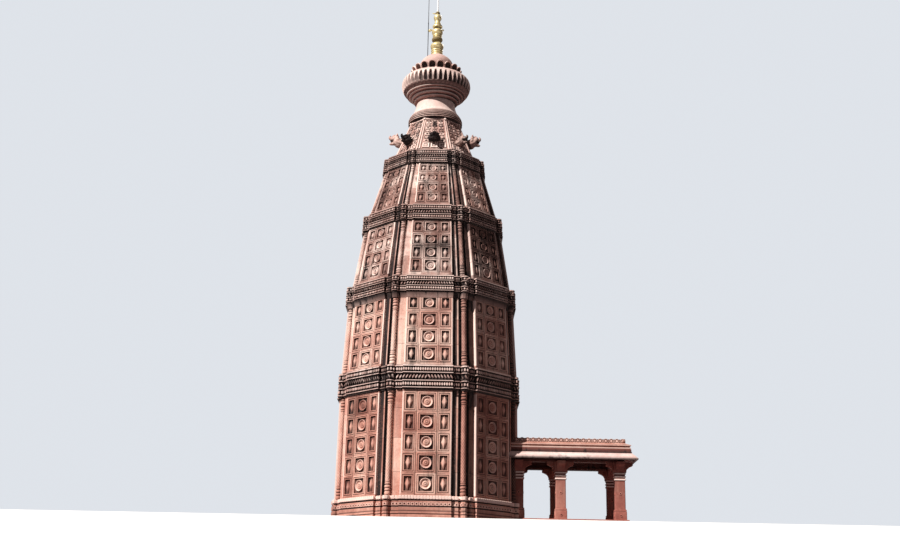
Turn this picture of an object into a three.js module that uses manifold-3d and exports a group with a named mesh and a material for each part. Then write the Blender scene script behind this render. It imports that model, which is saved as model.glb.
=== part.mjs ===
// A Hindu temple tower of red sandstone with its pillared side porch, in millimetres, +Z up.
// The tower is a regular octagon in plan, in four panelled stages that step in under carved cornices,
// then a short cone with eight lion foreparts, a round collar, neck, ribbed cushion, petal crown and
// gilded finial. The porch stands against the +X face. Azimuth 0 is the +X face of the octagon.

import * as THREE from 'three';
import { mergeVertices } from 'three/addons/utils/BufferGeometryUtils.js';
import Module from 'manifold-3d';

const wasm = await Module();
wasm.setup();

// Driving dimensions. An apothem is the distance from the tower's axis to the middle of a side.
const SIDES = 8;
const SIDE_ANGLE = ( 2 * Math.PI ) / SIDES;
const HALF_SIDE_ANGLE = SIDE_ANGLE / 2;
const FACES = [ 0, 1, 2, 3, 4, 5, 6, 7 ];
const SEAT_GAP = 0.3;

const FLOOR_TOP = 300;
const BASE_TOP = 800;
const BASE_APOTHEM = 3750;
const SHRINE_APOTHEM = 2900;

// Each stage: the heights of its foot and head, the apothem of its proud slab at both, and its rows of
// middle panels, from the lowest up: a row's centre, half the height of its sunk field, its medallion's radius.
const STAGES = [
	{
		foot: 800, head: 4900, footApothem: 3650, headApothem: 3610, inner: 2900,
		rows: [ [ 1310, 280, 220 ], [ 2100, 280, 220 ], [ 2880, 280, 220 ], [ 3660, 280, 220 ], [ 4440, 280, 220 ] ],
	},
	{
		foot: 5880, head: 8640, footApothem: 3590, headApothem: 3440, inner: 2850,
		rows: [ [ 6320, 260, 210 ], [ 7030, 245, 210 ], [ 7720, 240, 205 ], [ 8410, 210, 175 ] ],
	},
	{
		foot: 9550, head: 12060, footApothem: 3310, headApothem: 2920, inner: 2650,
		rows: [ [ 10020, 235, 200 ], [ 10600, 220, 175 ], [ 11190, 190, 155 ], [ 11750, 190, 160 ] ],
	},
	{
		foot: 12740, head: 14860, footApothem: 2760, headApothem: 2150, inner: 2200,
		rows: [ [ 13150, 170, 160 ], [ 13660, 160, 150 ], [ 14150, 140, 135 ], [ 14610, 135, 130 ] ],
	},
];

// A panel's sunk field: its half width as a part of the slab's, its depth, and how far its medallion is set back.
const PANEL = { part: 0.2785, depth: 58, medallionSetback: 8, medallionSides: 8, rooting: 12 };
const FIRST_ROW_OVER_DOORWAY = 3;

const CONE = { foot: 15480, head: 17400, footApothem: 1780, headApothem: 1060, footInner: 1300, headInner: 780 };

const CONE_RELIEF = { foot: 0.5, head: 0.3 };

// Each cornice: the heights it spans, the apothem of its slab face at both, and its inner apothem.
const CORNICES = [
	{ foot: 4900, head: 5880, footApothem: 3710, headApothem: 3690, inner: 2875 },
	{ foot: 8860, head: 9550, footApothem: 3550, headApothem: 3530, inner: 2650 },
	{ foot: 12060, head: 12740, footApothem: 3000, headApothem: 2970, inner: 2200 },
	{ foot: 14860, head: 15480, footApothem: 2230, headApothem: 2180, inner: 1300 },
];

// The sunk band of a cornice: its bottom and top as parts of the cornice's height, its edges and its depth.
const SUNK_BAND = { bottom: 0.38, top: 0.62, slope: 0.01, depth: 50 };

// The plain course that flares out under the second cornice.
const FLARED_COURSE = { footReach: 10, headSetback: 60, scale: 0.95 };

// How a facade steps back from its proud slab, as parts of the half side and real depths.
const SLAB_PART = 0.64;
const STRIP_PART = 0.81;
const STRIP_DEPTH = 120;
const WALL_DEPTH = 210;
const CORNER_COLUMN_RADIUS = 125;
const CORNER_ARC_STEPS = 4;

// The base moulding: the heights of its sunk band and of the roll above it, and how far each is set back.
const MOULDING = { courseTop: 440, bandFoot: 470, bandTop: 670, rollFoot: 700, courseSetback: 10, bandSetback: 45 };

const DOORWAY = { width: 1100, top: 2350 };

// The round top: the height of each piece's foot, then the tip of the finial.
const TOP = {
	collar: CONE.head, neck: 17870, bowl: 18480, cushion: 18930, crown: 19780, dome: 20330,
	lowerPot: 20940, middlePot: 21640, upperPot: 22450, spike: 23180, tip: 24050,
};
const LATHE_STEPS = 32;
const FINIAL_STEPS = 24;
const SPIKE_STEPS = 12;
const CUSHION_RIBS = 42;
const RIB_GROOVE = { edge: 0.03, side: 0.08 };
const PETALS = 16;
const PETAL_WIDTH = 300;
const LION_WIDTH = 440;
// The lions' undersides, face by face from +X: those at both ends of the long axis lean out higher up.
const LION_FEET = [ 16380, 16000, 16000, 16000, 16380, 16000, 16000, 16000 ];
const LIGHTNING_ROD = { offset: 415, radius: 18, foot: 20800, top: 24300, steps: 8 };

// The porch.
const COLUMN_WIDTH = 390;
const COLUMN_ROWS = [ 3640, 5310, 7655 ];
const PORCH_HALF_DEPTH = 1400;
const PORCH_FLOOR_EDGE = 120;
const CAPITAL_FOOT = 2145;
const BEAM_FOOT = 2540;
const BEAM_TOP = 2885;
const ROOF_TOP = 3040;
const PORCH_CORNICE_TOP = 3285;
const PORCH_CORNICE = { inner: - 140, footReach: 200, topReach: 240 };
const PARAPET_TOP = 3485;
const PARAPET = { inner: - 140, reach: 40 };
const CORNICE_REACH = 260;
const EAVE_REACH = 480;
const EAVE_DROP = 275;
const EAVE_THICKNESS = 80;
const EAVE_LIP = 50;
// What a piece's reach is multiplied by at the porch's inner end, beside the tower.
const INNER_END_REACH = 0.6;
const COLUMN_FOOT = { height: 400, reach: 40 };
const COLUMN_BANDS = [ 1840, 1955, 2070 ];
const COLUMN_BAND = { height: 60, reach: 30 };
const BRACKET = { reach: 330, lip: 110, root: 60 };

const COLOURS = {
	sandstone: '#b0604d',
	paleStone: '#d9a08e',
	darkStone: '#7d4238',
	gilt: '#d9a93a',
	iron: '#2e3338',
};

function material( colour, roughness = 0.85, metalness = 0 ) {

	return new THREE.MeshStandardMaterial( { color: colour, roughness, metalness } );

}

// Solids and meshes

function toSolid( geometry ) {

	const plain = geometry.clone();
	for ( const name of Object.keys( plain.attributes ) ) if ( name !== 'position' ) plain.deleteAttribute( name );
	const merged = mergeVertices( plain, 1e-4 );
	const vertProperties = new Float32Array( merged.attributes.position.array );
	const triVerts = new Uint32Array( merged.index.array );
	return new wasm.Manifold( new wasm.Mesh( { numProp: 3, vertProperties, triVerts } ) );

}

function toGeometry( solid ) {

	const mesh = solid.getMesh();
	const geometry = new THREE.BufferGeometry();
	geometry.setAttribute( 'position', new THREE.BufferAttribute( mesh.vertProperties, mesh.numProp ) );
	geometry.setIndex( new THREE.BufferAttribute( mesh.triVerts, 1 ) );
	geometry.computeVertexNormals();
	return geometry;

}

// A solid through plan outlines of the same number of points, one at each level's height.
function loft( levels ) {

	const count = levels[ 0 ].points.length;
	const positions = [];
	for ( const { z, points } of levels ) for ( const point of points ) positions.push( point.x, point.y, z );
	const index = [];
	for ( let level = 0; level < levels.length - 1; level ++ ) {

		for ( let i = 0; i < count; i ++ ) {

			const a = level * count + i;
			const b = level * count + ( i + 1 ) % count;
			index.push( a, b, b + count, a, b + count, a + count );

		}

	}

	const top = ( levels.length - 1 ) * count;
	for ( const [ a, b, c ] of THREE.ShapeUtils.triangulateShape( levels[ 0 ].points, [] ) ) index.push( a, c, b );
	const topCap = THREE.ShapeUtils.triangulateShape( levels.at( - 1 ).points, [] );
	for ( const [ a, b, c ] of topCap ) index.push( top + a, top + b, top + c );
	const geometry = new THREE.BufferGeometry();
	geometry.setAttribute( 'position', new THREE.Float32BufferAttribute( positions, 3 ) );
	geometry.setIndex( index );
	return toSolid( geometry );

}

function prism( points, bottom, top ) {

	return loft( [ { z: bottom, points }, { z: top, points } ] );

}

function box( [ x0, y0, z0 ], [ x1, y1, z1 ] ) {

	const geometry = new THREE.BoxGeometry( x1 - x0, y1 - y0, z1 - z0 );
	geometry.translate( ( x0 + x1 ) / 2, ( y0 + y1 ) / 2, ( z0 + z1 ) / 2 );
	return toSolid( geometry );

}

// A round piece about +Z from the [ radius, height above its foot ] points of its side, with flat ends.
function turned( foot, side, steps = LATHE_STEPS ) {

	const points = side.map( ( [ r, height ] ) => new THREE.Vector2( r, foot + height ) );
	points.unshift( new THREE.Vector2( 0, points[ 0 ].y ) );
	if ( points.at( - 1 ).x > 0 ) points.push( new THREE.Vector2( 0, points.at( - 1 ).y ) );
	const geometry = new THREE.LatheGeometry( points, steps );
	geometry.rotateX( Math.PI / 2 );
	return toSolid( geometry );

}

// A side outline of [ distance from the axis, height above its foot ] points, cut to a width.
function profiled( foot, side, width ) {

	const shape = new THREE.Shape( side.map( ( [ r, height ] ) => new THREE.Vector2( r, foot + height ) ) );
	const geometry = new THREE.ExtrudeGeometry( shape, { depth: width, bevelEnabled: false, steps: 1 } );
	geometry.translate( 0, 0, - width / 2 );
	geometry.rotateX( Math.PI / 2 );
	return geometry;

}

// Plan outlines

function fromFace( face, outward, along ) {

	const angle = face * SIDE_ANGLE;
	return new THREE.Vector2(
		outward * Math.cos( angle ) - along * Math.sin( angle ),
		outward * Math.sin( angle ) + along * Math.cos( angle ),
	);

}

function halfSide( apothem ) {

	return apothem * Math.tan( HALF_SIDE_ANGLE );

}

function octagon( apothem ) {

	const points = [];
	for ( let face = 0; face < SIDES; face ++ ) points.push( fromFace( face, apothem, halfSide( apothem ) ) );
	return points;

}

// The steps of one face from its left edge to its right: wall, strip, proud slab, strip, wall.
function facePoints( face, apothem, depths, clearance = 0 ) {

	const half = halfSide( apothem );
	const steps = [
		[ apothem - depths.wall, - STRIP_PART ], [ apothem - depths.strip, - STRIP_PART ],
		[ apothem - depths.strip, - SLAB_PART ], [ apothem, - SLAB_PART ],
		[ apothem, SLAB_PART ], [ apothem - depths.strip, SLAB_PART ],
		[ apothem - depths.strip, STRIP_PART ], [ apothem - depths.wall, STRIP_PART ],
	];
	return steps.map( ( [ outward, part ] ) => (
		fromFace( face, outward + clearance, part * half + Math.sign( part ) * clearance )
	) );

}

// The round corner column that stands where a face meets the next one.
function cornerPoints( face, apothem, depths, radius ) {

	const wall = apothem - depths.wall;
	const centre = fromFace( face, wall, halfSide( wall ) );
	const start = face * SIDE_ANGLE - Math.PI / 2;
	const sweep = Math.PI + SIDE_ANGLE;
	const points = [];
	for ( let i = 0; i <= CORNER_ARC_STEPS; i ++ ) {

		const angle = start + sweep * i / CORNER_ARC_STEPS;
		points.push( new THREE.Vector2( centre.x + radius * Math.cos( angle ), centre.y + radius * Math.sin( angle ) ) );

	}

	return points;

}

// The whole plan of a stage or cornice. A clearance makes it larger all round, for cutting a neighbour.
function facade( apothem, scale = 1, clearance = 0 ) {

	const depths = { wall: WALL_DEPTH * scale, strip: STRIP_DEPTH * scale };
	const radius = CORNER_COLUMN_RADIUS * scale + clearance;
	const points = [];
	for ( let face = 0; face < SIDES; face ++ ) {

		points.push( ...facePoints( face, apothem, depths, clearance ) );
		points.push( ...cornerPoints( face, apothem, depths, radius ) );

	}

	return points;

}

// The tower's parts

function plinth() {

	return prism( facade( BASE_APOTHEM ), 0, FLOOR_TOP );

}

function doorwayCutter() {

	return box( [ 0, - DOORWAY.width / 2, FLOOR_TOP - 1 ], [ BASE_APOTHEM + 1, DOORWAY.width / 2, DOORWAY.top ] );

}

function baseMoulding() {

	const { courseTop, bandFoot, bandTop, rollFoot, courseSetback, bandSetback } = MOULDING;
	const levels = [
		[ FLOOR_TOP, courseSetback ], [ courseTop, courseSetback ], [ bandFoot, bandSetback ],
		[ bandTop, bandSetback ], [ rollFoot, 0 ], [ BASE_TOP, 0 ],
	];
	const outside = loft( levels.map( ( [ z, setback ] ) => ( { z, points: facade( BASE_APOTHEM - setback ) } ) ) );
	const hollow = prism( octagon( SHRINE_APOTHEM ), FLOOR_TOP - 1, BASE_TOP + 1 );
	return outside.subtract( hollow ).subtract( doorwayCutter() );

}

// The sunk field of a face's middle panel, which leans and narrows with the wall.
function sunkField( stage, face, [ centre, half ] ) {

	const { foot, head, footApothem, headApothem } = stage;
	return loft( [ centre - half, centre + half ].map( ( z ) => {

		const apothem = footApothem + ( headApothem - footApothem ) * ( z - foot ) / ( head - foot );
		const width = PANEL.part * SLAB_PART * halfSide( apothem );
		const corners = [
			[ apothem - PANEL.depth, - width ], [ apothem + PANEL.depth, - width ],
			[ apothem + PANEL.depth, width ], [ apothem - PANEL.depth, width ],
		];
		return { z, points: corners.map( ( [ outward, along ] ) => fromFace( face, outward, along ) ) };

	} ) );

}

// The medallion that stands in a sunk field, square to the leaning wall.
function medallion( stage, face, [ centre, , radius ] ) {

	const { foot, head, footApothem, headApothem } = stage;
	const { depth, rooting, medallionSetback, medallionSides } = PANEL;
	const slope = ( footApothem - headApothem ) / ( head - foot );
	const front = footApothem - slope * ( centre - foot ) - medallionSetback;
	const back = front + medallionSetback - depth - rooting;
	const disc = new THREE.CylinderGeometry( radius, radius, front - back, medallionSides );
	disc.rotateZ( - Math.PI / 2 ).rotateX( Math.PI / medallionSides ).rotateY( - Math.atan( slope ) );
	disc.translate( ( front + back ) / 2, 0, centre ).rotateZ( face * SIDE_ANGLE );
	return toSolid( disc );

}

// A wall with its middle panels sunk and their medallions left standing, on the faces and in the rows given.
function panelled( wall, stage, faces, rows = stage.rows ) {

	const panels = faces.flatMap( ( face ) => rows.map( ( row ) => [ stage, face, row ] ) );
	const fields = wasm.Manifold.union( panels.map( ( panel ) => sunkField( ...panel ) ) );
	const medallions = wasm.Manifold.union( panels.map( ( panel ) => medallion( ...panel ) ) );
	return wall.subtract( fields ).add( medallions );

}

// One wall of the lowest stage, with the corner column at its right end.
function wallPlan( face, apothem, inner ) {

	const depths = { wall: WALL_DEPTH, strip: STRIP_DEPTH };
	const wall = apothem - depths.wall;
	const joint = halfSide( wall ) - CORNER_COLUMN_RADIUS;
	return [
		fromFace( face, inner, - halfSide( inner ) + SEAT_GAP ),
		fromFace( face, wall, - joint + SEAT_GAP ),
		...facePoints( face, apothem, depths ),
		...cornerPoints( face, apothem, depths, CORNER_COLUMN_RADIUS ),
		fromFace( face, inner, halfSide( inner ) ),
	];

}

function plainWall( face ) {

	const stage = STAGES[ 0 ];
	return loft( [
		{ z: stage.foot, points: wallPlan( face, stage.footApothem, stage.inner ) },
		{ z: stage.head, points: wallPlan( face, stage.headApothem, stage.inner ) },
	] );

}

function lowerWall( face ) {

	return panelled( plainWall( face ), STAGES[ 0 ], [ face ] );

}

function doorwayWall() {

	const rows = STAGES[ 0 ].rows.slice( FIRST_ROW_OVER_DOORWAY );
	return panelled( plainWall( 0 ).subtract( doorwayCutter() ), STAGES[ 0 ], [ 0 ], rows );

}

function stageWalls( stage ) {

	const { foot, head, footApothem, headApothem, inner } = stage;
	const scale = footApothem / STAGES[ 0 ].footApothem;
	const narrowing = headApothem / footApothem;
	const outside = loft( [
		{ z: foot, points: facade( footApothem, scale ) },
		{ z: head, points: facade( headApothem, scale * narrowing ) },
	] );
	const hollow = loft( [
		{ z: foot - 1, points: octagon( inner ) },
		{ z: head + 1, points: octagon( inner * narrowing ) },
	] );
	return panelled( outside.subtract( hollow ), stage, FACES );

}

// A cornice of two proud bands with a sunk band of leaves between them.
function cornice( { foot, head, footApothem, headApothem, inner } ) {

	const scale = footApothem / STAGES[ 0 ].footApothem;
	const sunk = SUNK_BAND.depth * scale;
	const { bottom, top, slope } = SUNK_BAND;
	const bands = [ [ 0, 0 ], [ bottom, 0 ], [ bottom + slope, sunk ], [ top, sunk ], [ top + slope, 0 ], [ 1, 0 ] ];
	const levels = bands.map( ( [ part, depth ] ) => ( {
		z: foot + ( head - foot ) * part,
		points: facade( footApothem + ( headApothem - footApothem ) * part - depth, scale ),
	} ) );
	const outside = loft( levels );
	return outside.subtract( prism( octagon( inner ), foot - 1, head + 1 ) );

}

// The second cornice, on the plain course that flares out from the wall below it.
function flaredCornice( size ) {

	const stage = STAGES[ 1 ];
	const { footReach, headSetback, scale } = FLARED_COURSE;
	const outside = loft( [
		{ z: stage.head, points: facade( stage.headApothem + footReach, scale ) },
		{ z: size.foot, points: facade( size.footApothem - headSetback, scale ) },
	] );
	const course = outside.subtract( prism( octagon( size.inner ), stage.head - 1, size.foot + 1 ) );
	return cornice( size ).add( course );

}

// The outside of the cone, grown by a clearance where it cuts a lion.
function coneOutside( clearance ) {

	const { foot, head, footApothem, headApothem } = CONE;
	return loft( [
		{ z: foot, points: facade( footApothem, CONE_RELIEF.foot, clearance ) },
		{ z: head, points: facade( headApothem, CONE_RELIEF.head, clearance ) },
	] );

}

function cone() {

	const { foot, head, footInner, headInner } = CONE;
	const hollow = loft( [
		{ z: foot - 1, points: octagon( footInner ) },
		{ z: head + 1, points: octagon( headInner ) },
	] );
	return coneOutside( 0 ).subtract( hollow );

}

function collar() {

	return turned( TOP.collar, [ [ 1150, 0 ], [ 1190, 180 ], [ 1195, 290 ], [ 1130, 380 ], [ 1060, 470 ] ] );

}

function neck() {

	return turned( TOP.neck, [ [ 1040, 0 ], [ 970, 150 ], [ 900, 330 ], [ 855, 520 ], [ 850, 610 ] ] );

}

function bowl() {

	return turned( TOP.bowl, [
		[ 880, 0 ], [ 970, 120 ], [ 1010, 140 ], [ 1080, 240 ], [ 1130, 265 ], [ 1260, 400 ], [ 1320, 450 ],
	] );

}

// The ribbed cushion: a round profile whose radius swells and sinks with the ribs.
function cushion() {

	const side = [ [ 1330, 0 ], [ 1460, 160 ], [ 1530, 450 ], [ 1480, 660 ], [ 1330, 790 ], [ 1120, 850 ] ];
	const count = CUSHION_RIBS * 2;
	const levels = side.map( ( [ radius, height ], row ) => {

		const groove = row === 0 || row === side.length - 1 ? RIB_GROOVE.edge : RIB_GROOVE.side;
		const points = [];
		for ( let i = 0; i < count; i ++ ) {

			const r = i % 2 ? radius * ( 1 - groove ) : radius;
			const angle = 2 * Math.PI * i / count;
			points.push( new THREE.Vector2( r * Math.cos( angle ), r * Math.sin( angle ) ) );

		}

		return { z: TOP.cushion + height, points };

	} );
	return loft( levels );

}

// The drum of the petal crown with its petals, which lean out and curl at their tips.
function petalCrown() {

	const petalSide = [
		[ 780, 120 ], [ 960, 60 ], [ 1130, 280 ], [ 1160, 460 ], [ 1090, 510 ], [ 960, 400 ], [ 780, 460 ],
	];
	const petal = profiled( TOP.crown, petalSide, PETAL_WIDTH );
	let crown = turned( TOP.crown, [ [ 1090, 0 ], [ 1090, 70 ], [ 960, 90 ], [ 860, 180 ], [ 830, 550 ] ] );
	for ( let i = 0; i < PETALS; i ++ ) {

		const turnedPetal = petal.clone().rotateZ( ( i + 0.5 ) * 2 * Math.PI / PETALS );
		crown = crown.add( toSolid( turnedPetal ) );

	}

	return crown;

}

function dome( clearance = 0 ) {

	const side = [ [ 760, 0 ], [ 740, 130 ], [ 680, 270 ], [ 580, 390 ], [ 440, 500 ], [ 310, 580 ], [ 260, 610 ] ];
	return turned( TOP.dome + clearance, side.map( ( [ radius, height ] ) => [ radius + clearance, height ] ) );

}

// The gilded finial, in three pots and a spike.
function lowerPot() {

	const side = [ [ 250, 0 ], [ 250, 310 ], [ 295, 440 ], [ 265, 560 ], [ 110, 670 ], [ 110, 700 ] ];
	return turned( TOP.lowerPot, side, FINIAL_STEPS );

}

function middlePot() {

	const side = [
		[ 235, 0 ], [ 235, 160 ], [ 205, 190 ], [ 205, 340 ], [ 245, 490 ],
		[ 190, 620 ], [ 130, 660 ], [ 225, 710 ], [ 225, 810 ],
	];
	return turned( TOP.middlePot, side, FINIAL_STEPS );

}

function upperPot() {

	const side = [ [ 140, 0 ], [ 125, 250 ], [ 178, 410 ], [ 110, 570 ], [ 110, 670 ], [ 50, 730 ] ];
	return turned( TOP.upperPot, side, FINIAL_STEPS );

}

function spike() {

	return turned( TOP.spike, [ [ 42, 0 ], [ 36, 620 ], [ 0, TOP.tip - TOP.spike ] ], SPIKE_STEPS );

}

// The lightning rod stands on the dome's shoulder, beside the finial.
function lightningRod() {

	const { offset, radius, foot, top, steps } = LIGHTNING_ROD;
	const rod = new THREE.CylinderGeometry( radius, radius, top - foot, steps );
	rod.rotateX( Math.PI / 2 );
	rod.translate( - offset, 0, ( foot + top ) / 2 );
	return toSolid( rod ).subtract( dome( SEAT_GAP ) );

}

// A lion's forepart: its side outline, from the wall it leans out of to the open mouth, cut to a width.
function lion( face ) {

	const side = [
		[ 1100, 0 ], [ 1640, 0 ], [ 1790, 100 ], [ 1870, 170 ], [ 2010, 200 ], [ 2030, 240 ], [ 1870, 310 ],
		[ 1990, 390 ], [ 2040, 500 ], [ 1960, 640 ], [ 1790, 660 ], [ 1600, 560 ], [ 1100, 430 ],
	];
	const forepart = profiled( LION_FEET[ face ], side, LION_WIDTH ).rotateZ( face * SIDE_ANGLE );
	return toSolid( forepart ).subtract( coneOutside( SEAT_GAP ) );

}

// The porch's parts

// The space the tower takes out of the porch, with a hair of clearance.
function towerCutter() {

	const stage = STAGES[ 0 ];
	const narrowing = ( stage.headApothem - stage.footApothem ) / ( stage.head - stage.foot );
	const upperTop = 4000;
	const upperApothem = stage.footApothem + narrowing * ( upperTop - stage.foot );
	return loft( [
		{ z: - 1, points: facade( BASE_APOTHEM, 1, SEAT_GAP ) },
		{ z: BASE_TOP + SEAT_GAP, points: facade( BASE_APOTHEM, 1, SEAT_GAP ) },
		{ z: BASE_TOP + 2 * SEAT_GAP, points: facade( stage.footApothem, 1, SEAT_GAP ) },
		{ z: upperTop, points: facade( upperApothem, 1, SEAT_GAP ) },
	] );

}

function porchEnd() {

	return COLUMN_ROWS.at( - 1 ) + COLUMN_WIDTH / 2;

}

// Where a piece that reaches out past the columns ends at the tower.
function porchStart( reach ) {

	return COLUMN_ROWS[ 0 ] - COLUMN_WIDTH / 2 - INNER_END_REACH * reach;

}

function porchSlab( reach, bottom, top, start = porchStart( reach ) ) {

	const depth = PORCH_HALF_DEPTH + reach;
	return box( [ start, - depth, bottom ], [ porchEnd() + reach, depth, top ] );

}

function porchFloor() {

	return porchSlab( PORCH_FLOOR_EDGE, 0, FLOOR_TOP, SHRINE_APOTHEM ).subtract( towerCutter() );

}

// A square column with a block foot, a plain shaft with three bands, and a bracket capital.
function porchColumn( row, side ) {

	const x = COLUMN_ROWS[ row ];
	const y = side * ( PORCH_HALF_DEPTH - COLUMN_WIDTH / 2 );
	const half = COLUMN_WIDTH / 2;
	const block = ( reach, bottom, height ) => box(
		[ x - half - reach, y - half - reach, bottom ],
		[ x + half + reach, y + half + reach, bottom + height ],
	);
	let column = block( 0, FLOOR_TOP, CAPITAL_FOOT + 1 - FLOOR_TOP );
	column = column.add( block( COLUMN_FOOT.reach, FLOOR_TOP, COLUMN_FOOT.height ) );
	for ( const bottom of COLUMN_BANDS ) column = column.add( block( COLUMN_BAND.reach, bottom, COLUMN_BAND.height ) );
	const tip = half + BRACKET.reach;
	const root = half + BRACKET.root;
	const arms = [
		[ - tip, BEAM_FOOT ], [ - tip, BEAM_FOOT - BRACKET.lip ], [ - root, CAPITAL_FOOT ],
		[ root, CAPITAL_FOOT ], [ tip, BEAM_FOOT - BRACKET.lip ], [ tip, BEAM_FOOT ],
	];
	const along = profiled( 0, arms, COLUMN_WIDTH );
	const across = along.clone().rotateZ( Math.PI / 2 );
	for ( const bracket of [ along, across ] ) column = column.add( toSolid( bracket.translate( x, y, 0 ) ) );
	return column.subtract( towerCutter() );

}

function sideBeam( side ) {

	const outer = side * PORCH_HALF_DEPTH;
	const inner = side * ( PORCH_HALF_DEPTH - COLUMN_WIDTH );
	const low = Math.min( outer, inner );
	const high = Math.max( outer, inner );
	return box( [ porchStart( 0 ), low, BEAM_FOOT ], [ porchEnd(), high, BEAM_TOP ] ).subtract( towerCutter() );

}

function endBeam() {

	const reach = PORCH_HALF_DEPTH - COLUMN_WIDTH - SEAT_GAP;
	return box( [ porchEnd() - COLUMN_WIDTH, - reach, BEAM_FOOT ], [ porchEnd(), reach, BEAM_TOP ] );

}

function roofSlab() {

	return porchSlab( CORNICE_REACH, BEAM_TOP, ROOF_TOP ).subtract( towerCutter() );

}

// A plan outline round the porch, at a distance outside its column faces.
function porchOutline( out, z, start = porchStart( out ) ) {

	const depth = PORCH_HALF_DEPTH + out;
	const end = porchEnd() + out;
	const corners = [ [ start, - depth ], [ end, - depth ], [ end, depth ], [ start, depth ] ];
	return { z, points: corners.map( ( [ x, y ] ) => new THREE.Vector2( x, y ) ) };

}

// The stone eave of three sides, which slopes down and out from under the cornice.
function eaveShell() {

	const foot = BEAM_TOP - EAVE_DROP;
	const top = BEAM_TOP - SEAT_GAP;
	const topReach = CORNICE_REACH - 10;
	const outside = loft( [
		porchOutline( EAVE_REACH, foot ), porchOutline( EAVE_REACH, foot + EAVE_LIP ), porchOutline( topReach, top ),
	] );
	const inside = loft( [
		porchOutline( EAVE_REACH - EAVE_THICKNESS + 1, foot - 1, 0 ),
		porchOutline( topReach - EAVE_THICKNESS, top + 1, 0 ),
	] );
	return outside.subtract( inside ).subtract( towerCutter() );

}

// The part of the plan that belongs to the front, the end or the rear side, up to the mitre lines.
function porchSide( side ) {

	const near = 1000;
	const far = 9000;
	const mitre = porchEnd() - PORCH_HALF_DEPTH;
	const front = [ [ 0, - near ], [ 0, - far ], [ mitre + far - SEAT_GAP, - far ], [ mitre + near - SEAT_GAP, - near ] ];
	const end = [ [ mitre + near, - near ], [ mitre + far, - far ], [ mitre + far, far ], [ mitre + near, near ] ];
	const rear = front.map( ( [ x, y ] ) => [ x, - y ] ).reverse();
	const outline = { front, end, rear }[ side ];
	return prism( outline.map( ( [ x, y ] ) => new THREE.Vector2( x, y ) ), 0, PARAPET_TOP );

}

function eave( side ) {

	return eaveShell().intersect( porchSide( side ) );

}

// A band of stone round three sides of the roof, such as its cornice or its parapet.
function roofRim( innerReach, [ footReach, foot ], [ topReach, top ] ) {

	const outside = loft( [ porchOutline( footReach, foot ), porchOutline( topReach, top ) ] );
	const inside = loft( [ porchOutline( innerReach, foot - 1, 0 ), porchOutline( innerReach, top + 1, 0 ) ] );
	return outside.subtract( inside ).subtract( towerCutter() );

}

const temple = new THREE.Group();

function place( name, solid, finish ) {

	const mesh = new THREE.Mesh( toGeometry( solid ), finish );
	mesh.name = name;
	temple.add( mesh );

}

const sandstone = material( COLOURS.sandstone );
const paleStone = material( COLOURS.paleStone );
const darkStone = material( COLOURS.darkStone );
const gilt = material( COLOURS.gilt, 0.35, 0.9 );
const iron = material( COLOURS.iron, 0.6, 0.7 );

const FACE_NAMES = [ 'east', 'north_east', 'north', 'north_west', 'west', 'south_west', 'south', 'south_east' ];

place( 'plinth', plinth(), sandstone );
place( 'base_moulding', baseMoulding(), sandstone );
place( 'doorway_wall', doorwayWall(), sandstone );
for ( const face of FACES.slice( 1 ) ) place( `lower_wall_${ FACE_NAMES[ face ] }`, lowerWall( face ), sandstone );
place( 'second_stage', stageWalls( STAGES[ 1 ] ), sandstone );
place( 'third_stage', stageWalls( STAGES[ 2 ] ), sandstone );
place( 'fourth_stage', stageWalls( STAGES[ 3 ] ), sandstone );
CORNICES.forEach( ( size, i ) => {

	place( `cornice_${ i + 1 }`, i === 1 ? flaredCornice( size ) : cornice( size ), darkStone );

} );
place( 'cone', cone(), sandstone );
place( 'collar', collar(), sandstone );
place( 'neck', neck(), paleStone );
place( 'bowl', bowl(), sandstone );
place( 'ribbed_cushion', cushion(), paleStone );
place( 'petal_crown', petalCrown(), paleStone );
place( 'dome', dome(), paleStone );
place( 'finial_lower_pot', lowerPot(), gilt );
place( 'finial_middle_pot', middlePot(), gilt );
place( 'finial_upper_pot', upperPot(), gilt );
place( 'finial_spike', spike(), gilt );
place( 'lightning_rod', lightningRod(), iron );
for ( const face of FACES ) place( `lion_${ FACE_NAMES[ face ] }`, lion( face ), sandstone );

place( 'porch_floor', porchFloor(), sandstone );
for ( const [ side, word ] of [ [ - 1, 'front' ], [ 1, 'rear' ] ] ) {

	COLUMN_ROWS.forEach( ( _, row ) => {

		place( `porch_column_${ word }_${ row + 1 }`, porchColumn( row, side ), sandstone );

	} );
	place( `porch_beam_${ word }`, sideBeam( side ), sandstone );

}

place( 'porch_beam_end', endBeam(), sandstone );
place( 'porch_roof', roofSlab(), sandstone );
for ( const side of [ 'front', 'end', 'rear' ] ) place( `eave_${ side }`, eave( side ), paleStone );
const porchCornice = roofRim(
	PORCH_CORNICE.inner, [ PORCH_CORNICE.footReach, ROOF_TOP ], [ PORCH_CORNICE.topReach, PORCH_CORNICE_TOP ],
);
const porchParapet = roofRim( PARAPET.inner, [ PARAPET.reach, PORCH_CORNICE_TOP ], [ PARAPET.reach, PARAPET_TOP ] );
place( 'porch_cornice', porchCornice, sandstone );
place( 'porch_parapet', porchParapet, sandstone );

export default temple;
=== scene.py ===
"""The looks of a red sandstone temple tower with its pillared side porch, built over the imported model.

Lengths are metres, +Z is up and the tower's axis stands at x = 0, y = 0. The tower has eight equal sides;
a side's own directions are outward (away from the axis), along (counter-clockwise) and up.
"""

import logging
import math
from collections.abc import Sequence
from dataclasses import dataclass, field
from enum import Enum

import bpy
import numpy as np
from mathutils import Matrix, Vector


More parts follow.
